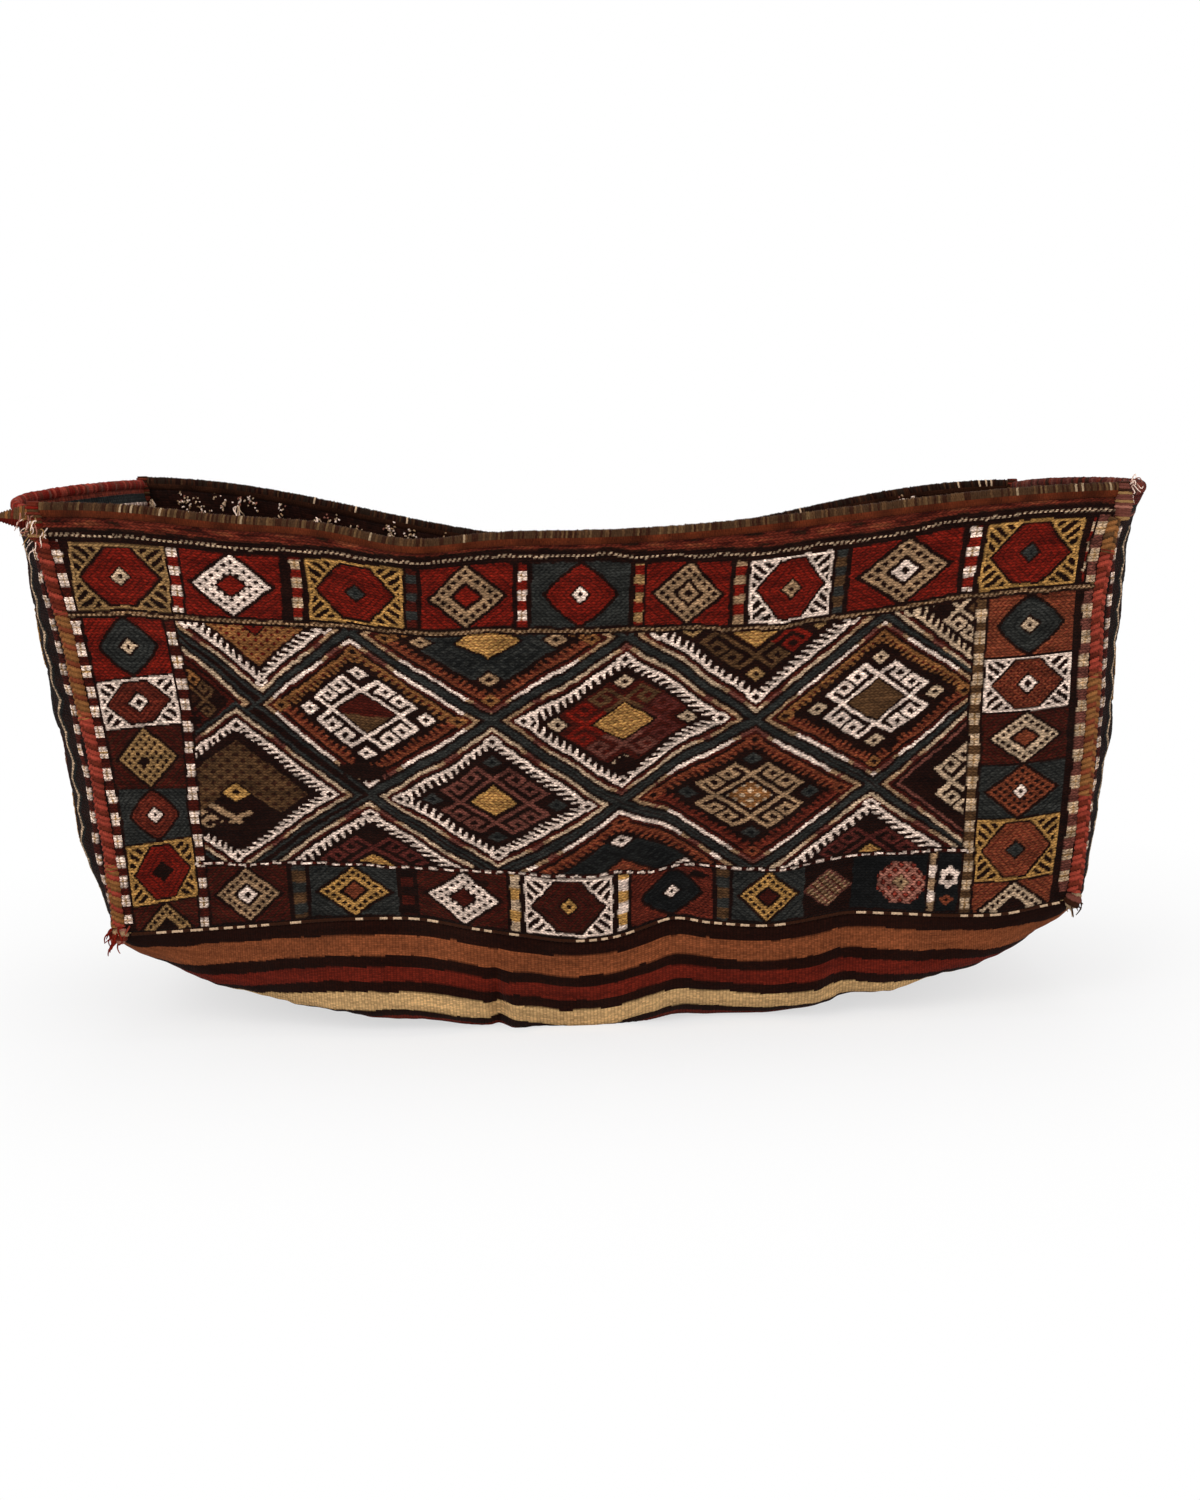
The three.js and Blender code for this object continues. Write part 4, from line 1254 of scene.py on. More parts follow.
# Colours of the cloth: the dyed wool, uneven from row to row, in streaks along the rows and in specks
def dyeStitches(ink, seed, rowSwing=0.08, streak=0.16, speck=0.13, rowHigh=3):
    draw = np.random.default_rng(seed)
    colours = dye(*woolNames)[ink]
    rows = draw.normal(0, rowSwing, len(ink) // rowHigh + 1)[np.arange(len(ink)) // rowHigh]
    down, along = np.indices(ink.shape)
    streaks = ripples(along, down * 5.0, seed + 1, 60, streak, 14)
    single = draw.normal(0, speck, ink.shape)
    colours[..., :3] *= np.clip(1 + rows[:, None] + streaks + single, 0.5, 1.6)[..., None]
    return colours


woolRise = {
    "white": 0.9, "beige": 0.8, "gold": 0.6, "tan": 0.6, "ground": -0.5, "blueBlack": -0.3, "umber": -0.3,
}
riseHeight = 0.0012  # metres for a rise of 1


# Height of each stitch: the rise of its wool, and a random part
def stitchHeights(ink, seed):
    lift = np.array([woolRise.get(n, 0.2) for n in woolNames])[ink]
    uneven = np.random.default_rng(seed).normal(0, 0.2, ink.shape)
    return (lift + uneven) * riseHeight


sideCloth = {
    "seamRoom": 0.0030,
    "footRoom": 0.0024,
    "stitch": (0.0050, 0.0029),  # one stitch, along and up
    "ripples": [(0.15, 0.0019), (0.05, 0.0007)],  # length, height
}


# One woven side: its surface on a fine grid outside and a coarse one inside, painted four samples a cell
def makeSide(name, surface, halfLength, size, paint, seed, inside, step=5, bands=()):
    columns, rows = size
    reach = 1 - sideCloth["seamRoom"] / halfLength
    low = sideCloth["footRoom"] / bag["panelHeight"]

    def grid(n, m, offset):
        a, v = np.meshgrid(np.linspace(-reach, reach, n + 1), np.linspace(low, 1, m + 1))
        points = surface(a, v)
        calm = (1 - a**8) * np.clip(np.minimum(v, 1 - v) * 8, 0, 1)
        x, y = a * halfLength, v * bag["panelHeight"]
        lift = sum(ripples(x, y, seed + k, *wave) for k, wave in enumerate(sideCloth["ripples"]))
        return points + gridNormals(points) * (offset + lift * calm)[..., None]

    a = np.linspace(-reach, reach, 4 * columns + 1)[1::2]
    v = np.linspace(low, 1, 4 * rows + 1)[1::2]
    ink = paint(*np.meshgrid(a, v))
    heights = toCorners(stitchHeights(ink, seed + 11))[::2, ::2]
    outer = grid(columns, rows, bag["wall"] / 2 + heights)
    inner = grid(columns // step, rows // step, -bag["wall"] / 2)
    samples = (2 * rows // step, 2 * columns // step)
    down = 1000 * bag["panelHeight"] * (1 - (np.arange(samples[0]) + 0.5) / samples[0])[:, None]
    innerInk = np.full(samples, woolNames.index(inside))
    for top, bottom, wool, lit in bands:
        lay(innerInk, (down > top) & (down < bottom) & (np.arange(samples[1]) % 3 < lit), wool)
    innerColours = dye(*woolNames)[innerInk]
    innerColours[..., :3] *= np.random.default_rng(seed + 12).uniform(0.5, 1.5, (*samples, 1))
    stitches = (2 * halfLength / sideCloth["stitch"][0], bag["panelHeight"] / sideCloth["stitch"][1])
    colours = dyeStitches(ink, seed + 13)
    return makeCloth(name, outer, inner, colours, innerColours, stitches, [soumakWool, soumakReverse])


# Stitch places in millimetres of flat cloth, from shares along and up the panel
def frontPlaces(a, v):
    down = pattern["height"] - v * (pattern["height"] - pattern["rimBinding"])
    return (a + 1) / 2 * pattern["width"], down


backLattice = {"left": 30, "right": 1020, "top": 48, "bottom": 400, "halfWide": 141.4, "halfHigh": 88.0}


# The back repeats the lattice with a plain border
def paintBack(a, v):
    u, w = frontPlaces(a, v)
    u = u + ripples(w, u, 21, 70, 0.8)
    w = w + ripples(u, w, 22, 60, 0.8)
    ink = np.zeros(u.shape, int)
    lay(ink, w < 23, "umber")
    lay(ink, (w > 8) & (w < 21), "brick")
    west, east, north, south, wide, high = backLattice.values()
    field = (u > west) & (u < east) & (w > north) & (w < south)
    for row in range(-1, 6):
        for column in range(-1, 9):
            if (row + column) % 2:
                continue
            x, y = west + column * wide, north + row * high
            light = (column // 2 + row) % 2 == 0
            d = {
                "at": [(x - wide, y), (x, y - high), (x + wide, y), (x, y + high)],
                "comb": "saw" if light else "comb",
                "teeth": "white" if light else "rust",
                "lower": "brick",
                "fill": "hooks",
                "wool": "mauve" if light else "tan",
                "heart": "gold",
                "small": "slate",
            }
            layDiamond(ink, field, u, w, d, 70 + row)
    bars = (w > 34) & (w < 412)
    layBar(ink, bars, u - 14, w, 9, "white", "maroon", 21.0, 0.55, 47)
    layBar(ink, bars, u - 1036, w, 9, "white", "maroon", 21.0, 0.55, 40)
    for at, light in ((29, "pink"), (41, "pink"), (407, "beige")):
        layTwine(ink, w, u, at, light, "maroon")
    return ink


endCells = {
    "middle": 106,  # from the middle of the end
    "first": 76,
    "step": 61,
    "count": 6,
    "half": (40, 28),
    "kinds": [
        ("solid", "slate", "red", "white"),
        ("net", "maroon", "tan", "white"),
        ("framed", "gold", "red", "slate"),
    ],
}


# The ends: a bar and a fine zigzag beside each seam, stacked diamonds and a wide zigzag down the middle
def paintEnd(a, v):
    u = a * bag["rimDepth"] / 2 * 1000
    w = frontPlaces(a, v)[1]
    u = u + ripples(w, u, 31, 60, 0.8)
    w = w + ripples(u, w, 32, 60, 0.8)
    ink = np.zeros(u.shape, int)
    body = (w > 44) & (w < 410)
    wide, high = endCells["half"]
    for side in (left, right):
        for k in range(endCells["count"]):
            x, y = side * endCells["middle"], endCells["first"] + endCells["step"] * k
            kind, *palette = endCells["kinds"][(k + (side > 0)) % 3]
            layCell(ink, body, u, w, (x - wide, y - high), (x + wide, y + high), kind, palette)
    zigzag = np.abs(u - (np.abs((w / 48) % 2 - 1) * 46 - 23))
    layInside(ink, body, zigzag, (14, "slate"), (9, "ground"), (6, "beige"), (3.2, "maroon"))
    fine = np.abs(np.abs(u) - 162 - np.abs((w / 16) % 2 - 1) * 9)
    layInside(ink, body, fine, (6, "slateDark"), (2, "beige"))
    layBar(ink, body, np.abs(u) - 188, w, 6, "white", "maroon", 21.0, 0.5, 47)
    layBar(ink, body, np.abs(u) - 58, w, 8, "khaki", "maroon", 21.0, 0.55, 47)
    for low, high, wool in ((0, 9, "olive"), (9, 23, "garnet"), (23, 28, "blueBlack")):
        lay(ink, (w > low) & (w < high), wool)
    layTwine(ink, w, u, 33, "pink", "maroon")
    return ink


sideGrids = {"front": (460, 180), "back": (400, 155), "end": (170, 170)}  # columns, rows
endReverse = {
    "inside": "maroon",
    "step": 2,
    "bands": [  # millimetres down from the hem, wool, how many stitches of three are lit
        (0, 5.5, "brick", 3), (5.5, 14.5, "slateDark", 3), (14.5, 17, "white", 2),
    ],
}
longHalf, endHalf = bag["rimLength"] / 2, bag["rimDepth"] / 2

frontPanel = makeSide(
    "frontPanel", partial(longSide, front), longHalf, sideGrids["front"], paintFront, 101, "ground"
)
backPanel = makeSide(
    "backPanel", lambda a, v: longSide(back, -a, v), longHalf, sideGrids["back"], paintBack, 201, "ground"
)
leftEnd = makeSide(
    "leftEnd", lambda a, v: endSide(left, -a, v), endHalf, sideGrids["end"], paintEnd, 301, **endReverse
)
rightEnd = makeSide(
    "rightEnd", partial(endSide, right), endHalf, sideGrids["end"], paintEnd, 401, **endReverse
)
for piece, node in (
    (frontPanel, "front_panel"), (backPanel, "back_panel"),
    (leftEnd, "left_end_panel"), (rightEnd, "right_end_panel"),
):
    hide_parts(node)
print("sides woven")

# The striped base

stripes = [  # width in millimetres of cloth from a long seam, wool
    (15, "kilimDark"), (21, "kilimTan"), (12, "kilimDark"), (15, "kilimRust"), (12, "kilimDark"),
    (22, "kilimCream"), (12, "kilimDark"), (20, "kilimRust"), (14, "kilimDark"), (18, "kilimTan"),
    (14, "kilimDark"), (40, "kilimRust"),
]
baseCloth = {
    "columns": 390,
    "rows": 190,
    "seamRoom": 0.0022,
    "reach": 0.9997,
    "step": 2,
    "stitches": (400, 300),
    "crease": -104,  # where the stripes break, in millimetres, and by how much on each hand
    "jump": 4.0,
    "seed": 501,
}


# Base: the belly on a fine grid outside and a coarser one inside, striped by the way to the nearer seam
def makeBase():
    columns, rows, step = (baseCloth[key] for key in ("columns", "rows", "step"))

    # columns crowd towards the ends, where the cloth turns down
    def cloth(n, m):
        even = np.linspace(-1, 1, n + 1)
        s = lerp(even, np.sin(even * np.pi / 2), 0.8) * baseCloth["reach"]
        t, drop = bellyProfile(s, m + 1, baseCloth["seamRoom"])
        points = bellySide(s[None], t[::-1], drop[::-1])
        free = np.clip(points[..., 2] / 0.02, 0, 1) * np.clip(drop[::-1] * 4, 0, 1)
        down = points[..., 2] - points[..., 1]
        lift = ripples(points[..., 0], down, baseCloth["seed"], 0.07, 0.0015)
        lift = lift + ripples(points[..., 0], down * 0.4, baseCloth["seed"] + 1, 0.022, 0.0005)
        normals = gridNormals(points)
        return points + normals * (lift * free)[..., None], normals

    outer, _ = cloth(columns, rows)
    outer[..., 2] = np.maximum(outer[..., 2], 0)
    coarse, coarseNormals = cloth(columns // step, rows // step)
    inner = coarse - coarseNormals * bag["baseWall"]

    # millimetres of cloth from the nearer long seam, four samples a cell
    gap = np.linalg.norm(np.diff(outer, axis=0), axis=-1) * 1000
    fromBack = np.concatenate([np.zeros((1, columns + 1)), np.cumsum(gap, 0)])
    nearest = np.minimum(fromBack, fromBack[-1] - fromBack)
    halves = np.arange(2 * rows) * 0.5 + 0.25
    floor = halves.astype(int)
    share = (halves - floor)[:, None]
    samples = lerp(nearest[floor], nearest[floor + 1], share)
    samples = np.repeat((samples[:, 1:] + samples[:, :-1]) / 2, 2, axis=1)
    x = np.repeat((outer[rows // 2, 1:, 0] + outer[rows // 2, :-1, 0]) * 500, 2)[None]
    samples = samples + ripples(x, samples, 502, 90, 0.9) + ripples(x, samples, 503, 26, 0.35)
    fromCrease = x - baseCloth["crease"] - 0.5 * (95 - samples)
    jump = baseCloth["jump"] * np.tanh(fromCrease / 4) * np.exp(-np.abs(fromCrease) / 38)
    samples = samples + jump * np.clip((samples - 30) / 45, 0, 1)
    edges = np.cumsum([w for w, _ in stripes])
    stripe = np.minimum(np.searchsorted(edges, samples), len(stripes) - 1)
    ink = np.array([woolNames.index(name) for _, name in stripes])[stripe]
    colours = dyeStitches(ink, 504, 0.05, 0.1, 0.05)
    innerColours = dyeStitches(ink[step // 2::step, step // 2::step], 506)
    # painted shade: the inside is the same striped wool as the outside, painted at 0.8 of its brightness
    innerColours[..., :3] *= 0.8
    return makeCloth(
        "basePanel", outer, inner, colours, innerColours, baseCloth["stitches"], [kilimWool, kilimWool]
    )


basePanel = makeBase()
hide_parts("base_panel")
print("base woven")

strand = {"wave": 0.09, "thinned": 0.55, "sides": 5}


# Loose strands: each starts at a point, leaves in a direction, droops by a parabola and waves a little
def strandRings(starts, directions, lengths, radius, seed, droop, count):
    draw = np.random.default_rng(seed)
    share = np.linspace(0, 1, count)[:, None]
    lengths = lengths[:, None, None]
    points = starts[:, None] + directions[:, None] * share * lengths
    points[..., 2] -= (droop * lengths * share**2)[..., 0]
    wave = draw.normal(0, 1, (len(starts), 2, 3))
    bend = np.sin(share * np.pi) * wave[:, :1] + np.sin(2 * np.pi * share) * wave[:, 1:]
    points = points + strand["wave"] * lengths * bend
    out, across = pathFrames(points, np.array([0.31, 0.52, 0.79]))
    taper = (1 - strand["thinned"] * share**3)[None] * radius
    return pathRings(points, out, across, ringTurns(strand["sides"]), taper)


# One wool for each strand, drawn by weight, and its own depth of dye
def strandColours(palette, weights, count, rings, sides, seed):
    draw = np.random.default_rng(seed)
    picks = draw.choice(len(palette), count, p=weights)
    colours = dye(*palette)[picks]
    colours[:, :3] *= draw.normal(1, 0.08, (count, 1))
    return np.broadcast_to(colours[:, None, None], (count, rings - 1, sides, 4))


# A tuft: strands that leave one place within a cone, as a group of tubes. Mix has a share for each wool.
def tuft(at, direction, lengths, radius, mix, count, seed, spread, spot, droop, steps=12):
    draw = np.random.default_rng(seed)
    starts = np.array(at) + draw.normal(0, spot, (count, 3))
    directions = unit(np.array(direction, float) + draw.normal(0, spread, (count, 3)))
    long = draw.uniform(*lengths, count)
    rings = strandRings(starts, directions, long, radius, seed + 1, droop, steps)
    return rings, strandColours(list(mix), list(mix.values()), count, *rings.shape[1:3], seed + 2)


threads = {
    "clusters": 130,
    "each": 7,
    "lengths": (0.0012, 0.0036),
    "radius": 0.0011,
    "wools": {"beige": 0.45, "white": 0.3, "tan": 0.15, "pink": 0.1},
    "hanging": (-0.79, -0.61, -0.985),  # where longer ends hang together
    "hangingLengths": (0.020, 0.026),
    "hangingRadius": 0.0009,
    "hangingWools": {"beige": 0.6, "white": 0.4},
}


# Thread ends on the inside of the back, in clusters under its rim that thin out to the right
def looseThreads():
    draw = np.random.default_rng(641)
    groups = []
    for n, share in enumerate(draw.random(threads["clusters"])):
        at = longSide(back, 1.78 * share**1.5 - 0.92, 1.0 - 0.13 * draw.random() ** 1.5)
        at = at - [0, bag["wall"] / 2 + 0.002, 0]
        direction = (0.8 * draw.normal(), -0.7, -0.5)
        groups.append(
            tuft(at, direction, threads["lengths"], threads["radius"], threads["wools"], threads["each"],
                 650 + 3 * n, 0.9, 0.003, 0.3, 5)
        )
    for n, s in enumerate(threads["hanging"]):
        at = longSide(back, s, 0.97) - [0, bag["wall"] / 2 + 0.003, 0]
        groups.append(
            tuft(at, (0, -0.1, -1), threads["hangingLengths"], threads["hangingRadius"],
                 threads["hangingWools"], 9, 900 + n, 0.03, 0.0015, 0.0)
        )
    return groups


# Rim bindings

longRim = {
    "halfWidth": 0.0048, "halfHeight": 0.0075, "lift": 0.0072, "pitch": 0.0021, "ridge": 0.09,
    "sides": 18, "hairFrom": -0.1, "lower": "rimRust",
}
endRim = {
    "halfWidth": 0.0042, "halfHeight": 0.0056, "lift": 0.0053, "pitch": 0.0044, "ridge": 0.07,
    "sides": 16, "hairFrom": -2, "lower": "brick",
}
wrapping = {"slant": 0.3, "tight": 0.035, "bare": 0.3, "slack": 0.05, "cloud": 0.25, "tint": 0.16}


# Binding along a path: an oval section, ridged once for each wrap, the wraps slanted a little round it.
# Hair is wrapped over its upper part, and the web's own edge shows below.
def makeBinding(name, path, outward, rim, mix, seed, material, loose=()):
    whole = pathLengths(path)[-1]
    wraps = int(whole / rim["pitch"])
    count = wraps * 4 + 1
    at = np.linspace(0, whole, count)
    points = pathPoints(path, at)
    out, down = pathFrames(points, outward)
    turn = ringTurns(rim["sides"])
    wrap = at[:, None] / rim["pitch"] + wrapping["slant"] * np.sin(turn)[None]
    draw = np.random.default_rng(seed)
    tight = 1 + draw.normal(0, wrapping["tight"], wraps + 4)
    number = np.clip(np.floor(wrap).astype(int) + 1, 0, wraps + 3)
    hair = np.sin(turn + np.pi / rim["sides"]) * np.sign(down[count // 2, 2]) > rim["hairFrom"]
    ridge = rim["ridge"] * np.where(hair, 1, wrapping["bare"])
    swell = (1 - ridge + ridge * np.abs(np.sin(wrap * np.pi)) * 1.6) * lerp(1, tight[number], hair)
    slack = 1 + wrapping["slack"] * ripples(at, at * 0, seed + 1, 0.06, 1.0)
    across = rim["halfWidth"] * swell * slack[:, None] * np.cos(turn)
    up = rim["halfHeight"] * swell * np.sin(turn)
    rings = points[:, None] + across[..., None] * out[:, None] + up[..., None] * down[:, None]
    picks = draw.choice(len(mix), wraps + 4, p=list(mix.values()))
    colours = dye(*mix)[picks][number[:-1]]
    cloud = 1 + wrapping["cloud"] * ripples(at[:-1], at[:-1] * 0, seed + 2, 0.03, 1.0)
    colours = np.where(hair[None, :, None], colours, dye(rim["lower"]) * cloud[:, None, None])
    tint = 1 + draw.normal(0, wrapping["tint"], colours.shape[:2])
    colours[..., :3] *= np.clip(tint, 0.5, 1.6)[..., None]
    colours[..., 3] = 1
    return makeTubes(name, [(rings[None], colours[None]), *loose], [material])


rimWools = {
    "frontRim": {"hairBrown": 0.52, "olive": 0.16, "umber": 0.22, "hairOlive": 0.08, "hairGrey": 0.02},
    "backRim": {"hairDark": 0.42, "ground": 0.28, "umber": 0.2, "hairBrown": 0.06, "beige": 0.04},
    "leftRim": {"red": 0.42, "brick": 0.26, "coral": 0.22, "mauve": 0.1},
    "rightRim": {"plum": 0.36, "umber": 0.16, "brick": 0.26, "mauve": 0.22},
}
along = np.linspace(-1 + 0.012, 1 - 0.012, 400)
for name, side, seed in (("frontRim", front, 601), ("backRim", back, 611)):
    path = longSide(side, along, np.ones_like(along)) + [0, 0, longRim["lift"]]
    loose = looseThreads() if side == back else ()
    rim = {**longRim, "lower": "umber"} if side == back else longRim
    outward = np.array([0, side, 0.0])
    makeBinding(name, path, outward, rim, rimWools[name], seed, goatHair, loose)
along = np.linspace(-0.97, 0.97, 300)
for name, side, seed in (("leftRim", left, 621), ("rightRim", right, 631)):
    path = endSide(side, along, np.ones_like(along)) + [0, 0, endRim["lift"]]
    outward = np.array([side, 0, 0.0])
    makeBinding(name, path, outward, endRim, rimWools[name], seed, hemWool)
for name, node in (
    ("frontRim", "front_rim_binding"), ("backRim", "back_rim_binding"),
    ("leftRim", "left_rim_binding"), ("rightRim", "right_rim_binding"),
):
    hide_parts(node)
print("rims bound")

# Corner braids

braid = {
    "radius": 0.0066, "pitch": 0.0056, "ridge": 0.24, "sides": 26, "perPitch": 4,
    "low": 0.022, "high": 0.952,  # shares of the height
    "slant": 0.9, "groove": 0.22, "grooveWide": 0.16, "wander": 0.0008, "uneven": 0.06,
}
braidBands = {  # from the rim down: share of the height where each band ends, its two wools
    "frontLeft": [
        (0.19, "brick", "coral"), (0.45, "ochre", "rust"),
        (0.84, "coral", "brick"), (1, "ochre", "coral"),
    ],
    "frontRight": [
        (0.09, "ochre", "olive"), (0.4, "coral", "brick"),
        (0.73, "ochre", "rust"), (1, "coral", "brick"),
    ],
    "backLeft": [(0.3, "brick", "coral"), (0.6, "clay", "rust"), (1, "brick", "coral")],
    "backRight": [(0.3, "brick", "coral"), (0.6, "clay", "rust"), (1, "brick", "coral")],
}


# Braid down a corner: a round section whose ridges meet in chevrons facing out of the corner, with
# painted shade in the grooves between the ridges
def makeBraid(name, sideX, sideY, bands, seed):
    v = np.linspace(braid["high"], braid["low"], 60)
    spine = longSide(sideY, np.full_like(v, sideX), v)
    whole = pathLengths(spine)[-1]
    at = np.linspace(0, whole, int(whole / braid["pitch"]) * braid["perPitch"] + 1)
    points = pathPoints(spine, at)
    out, across = pathFrames(points, unit(np.array([0.5 * sideX, sideY, 0.0])))
    points = points + across * ripples(at, at * 0, seed + 5, 0.09, braid["wander"])[:, None]
    turn = np.linspace(-np.pi, np.pi, braid["sides"], endpoint=False)
    phase = at[:, None] / braid["pitch"] - braid["slant"] * np.abs(turn)[None] / (np.pi / 2)
    groove = 1 - braid["groove"] * bell(turn, 0, braid["grooveWide"])[None]
    ridges = 1 - braid["ridge"] / 2 + braid["ridge"] * np.abs(np.sin(np.pi * phase))
    uneven = 1 + braid["uneven"] * ripples(at, at * 0, seed + 6, 0.05, 1.0)
    rings = pathRings(points, out, across, turn, braid["radius"] * ridges * groove * uneven[:, None])
    draw = np.random.default_rng(seed)
    share = at[:-1] / whole + draw.normal(0, 0.006, len(at) - 1)
    ends, firstWools, secondWools = zip(*bands)
    band = np.minimum(np.searchsorted(ends, share), len(bands) - 1)
    first, second = dye(*firstWools)[band], dye(*secondWools)[band]
    strand = np.floor(phase[:-1]).astype(int)
    other = ((strand + (turn > 0)[None]) % 3 == 0)[..., None]
    colours = np.where(other, second[:, None], first[:, None])
    tint = np.clip(draw.normal(1, 0.13, 400)[strand % 400], 0.65, 1.35)
    # painted shade: the wool is darker in the grooves between the ridges and a little lighter on them
    grooveShade = 0.45 + 0.65 * np.abs(np.sin(np.pi * (phase[:-1] + phase[1:]) / 2))
    colours[..., :3] *= (tint * grooveShade)[..., None]
    return makeTubes(name, [(rings[None], colours[None])], [braidWool])


corners = [
    ("frontLeft", "front_left", left, front), ("frontRight", "front_right", right, front),
    ("backLeft", "back_left", left, back), ("backRight", "back_right", right, back),
]
for n, (name, node, sideX, sideY) in enumerate(corners):
    piece = makeBraid(name + "Braid", sideX, sideY, braidBands[name], 700 + 10 * n)
    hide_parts(node + "_seam")
print("corners braided")

# Base seams

baseSeam = {
    "radius": 0.0021, "pitch": 0.0045, "sides": 10, "room": 0.012,
    "dash": 0.015, "lit": 0.62, "worn": 0.3,  # one dash, how much of it is light, how many have worn off
}


# Sewn cord along the foot of the sides: a round section with a slanted twist, dashed along its outer face
def makeBaseSeam(name, spine, outward, light, dark, seed):
    at = np.arange(0, pathLengths(spine)[-1], baseSeam["pitch"] / 4)
    points = pathPoints(spine, at)
    out, across = pathFrames(points, outward)
    turn = ringTurns(baseSeam["sides"])
    phase = at[:, None] / baseSeam["pitch"] + turn[None] / (2 * np.pi)
    radius = baseSeam["radius"] * (0.86 + 0.24 * np.abs(np.sin(np.pi * phase)))
    rings = pathRings(points, out, across, turn, radius)
    draw = np.random.default_rng(seed)
    dashes = at[:-1] / baseSeam["dash"] + 0.3 * np.sin(at[:-1] / 0.019)
    worn = draw.random(int(dashes.max()) + 3)[dashes.astype(int) + 1] < baseSeam["worn"]
    pick = np.where((dashes % 1 < baseSeam["lit"]) & ~worn, 0, 1)
    outer = np.abs(np.sin(turn + np.pi / baseSeam["sides"])) < 0.6
    colours = np.where(outer[None, :, None], dye(light, dark)[pick][:, None], dye(dark))
    colours[..., :3] *= draw.normal(1, 0.08, (len(at) - 1, 1, 1))
    return makeTubes(name, [(rings[None], colours[None])], [sewingWool])


run = np.linspace(-1, 1, 500)
longInset = 1 - baseSeam["room"] / bag["leftFoot"]
endInset = 1 - baseSeam["room"] / (bag["baseDepth"] / 2)
for name, side, seed in (("front", front, 801), ("back", back, 811)):
    spine = longSide(side, run * longInset, run * 0)
    piece = makeBaseSeam(name + "BaseSeam", spine, np.array([0, side, 0.0]), "beige", "umber", seed)
    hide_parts(name + "_base_seam")
for name, side, seed in (("left", left, 821), ("right", right, 831)):
    spine = endSide(side, run * endInset, run * 0)
    piece = makeBaseSeam(name + "BaseSeam", spine, np.array([side, 0, 0.0]), "tan", "umber", seed)
    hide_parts(name + "_base_seam")
print("base sewn")

# Corner whippings and foot knots with their yarn ends

whip = {
    "radius": 0.0088, "below": 0.022, "above": 0.0155, "pitch": 0.0026, "sides": 26, "perPitch": 5,
    "shares": [0.4, 0.3, 0.2, 0.1],  # of the wools below
}
whipWools = {
    "frontLeft": ["brick", "olive", "khaki", "red"],
    "frontRight": ["mauve", "umber", "khaki", "pink"],
    "backLeft": ["brick", "umber", "rust", "olive"],
    "backRight": ["umber", "brick", "olive", "rust"],
}


def cornerAt(sideX, sideY, v):
    return longSide(sideY, np.array([float(sideX)]), np.array([v]))[0]


# Whipping round a top corner: a barrel with a ridge for each turn of yarn, drawn in at both ends
def makeWhip(name, sideX, sideY, palette, seed, loose):
    top = cornerAt(sideX, sideY, 1.0)
    length = whip["below"] + whip["above"]
    turns = int(length / whip["pitch"])
    at = np.linspace(0, 1, turns * whip["perPitch"] + 1)
    turn = ringTurns(whip["sides"])
    phase = at[:, None] * turns + turn[None] / (2 * np.pi)
    draw = np.random.default_rng(seed)
    tight = draw.normal(1, 0.05, turns + 3)
    number = np.floor(phase).astype(int)
    barrel = 0.45 + 0.55 * np.clip(np.sin(np.pi * np.clip(at, 0.02, 0.98)), 0, 1)[:, None] ** 0.35
    ridges = 0.86 + 0.16 * np.abs(np.sin(np.pi * phase))
    lump = 1 + 0.07 * np.cos(turn * 2 + at[:, None] * 5) + 0.05 * np.cos(turn * 3 - at[:, None] * 9)
    radius = whip["radius"] * barrel * ridges * tight[number] * lump
    z = top[2] - whip["below"] + at[:, None] * length
    rings = np.stack([top[0] + radius * np.cos(turn), top[1] + radius * np.sin(turn), z + 0 * radius], -1)
    picks = draw.choice(len(palette), turns + 3, p=whip["shares"])
    colours = dye(*palette)[picks][number[:-1]]
    colours[..., :3] *= draw.normal(1, 0.07, colours.shape[:2])[..., None]
    return makeTubes(name, [(rings[None], colours[None]), *loose], [whippingYarn])


knot = {"radius": 0.0098, "rings": 26, "sides": 30, "windings": 3}


# Foot knot: a ball with a ridge for each winding of yarn, a little out of round
def makeKnot(name, sideX, sideY, palette, seed, loose):
    polar = np.linspace(0.12, np.pi - 0.12, knot["rings"])[:, None]
    turn = ringTurns(knot["sides"])[None]
    draw = np.random.default_rng(seed)
    wind = turn / (2 * np.pi) * knot["windings"] + polar * draw.uniform(0.5, 1.2) * 2.2
    ridges = 0.84 + 0.16 * np.sin(np.pi * (wind % 1))
    radius = knot["radius"] * (ridges + 0.05 * np.cos(2 * turn + 3 * polar))
    wide = radius * np.sin(polar)
    rings = np.stack([wide * np.cos(turn), wide * np.sin(turn), -radius * np.cos(polar)], -1)
    colours = dye(*palette)[np.floor(wind).astype(int)[:-1] % len(palette)]
    colours[..., :3] *= draw.normal(1, 0.08, colours.shape[:2])[..., None]
    rings = rings + cornerAt(sideX, sideY, 0.0)
    return makeTubes(name, [(rings[None], colours[None]), *loose], [knotYarn])


knotWools = {
    "frontLeft": ["pink", "brick", "tan"],
    "frontRight": ["umber", "mauve", "hairGrey"],
    "backLeft": ["brick", "rust"],
    "backRight": ["brick", "umber"],
}


ear = {
    "direction": (-1, -0.33, 0.06),
    "length": 0.033,
    "wide": 0.0135,
    "flat": 0.55,
    "turns": 13,
    "sides": 18,
    "wools": {"olive": 0.4, "ochre": 0.3, "khaki": 0.2, "brick": 0.1},
    "below": "garnet",
}


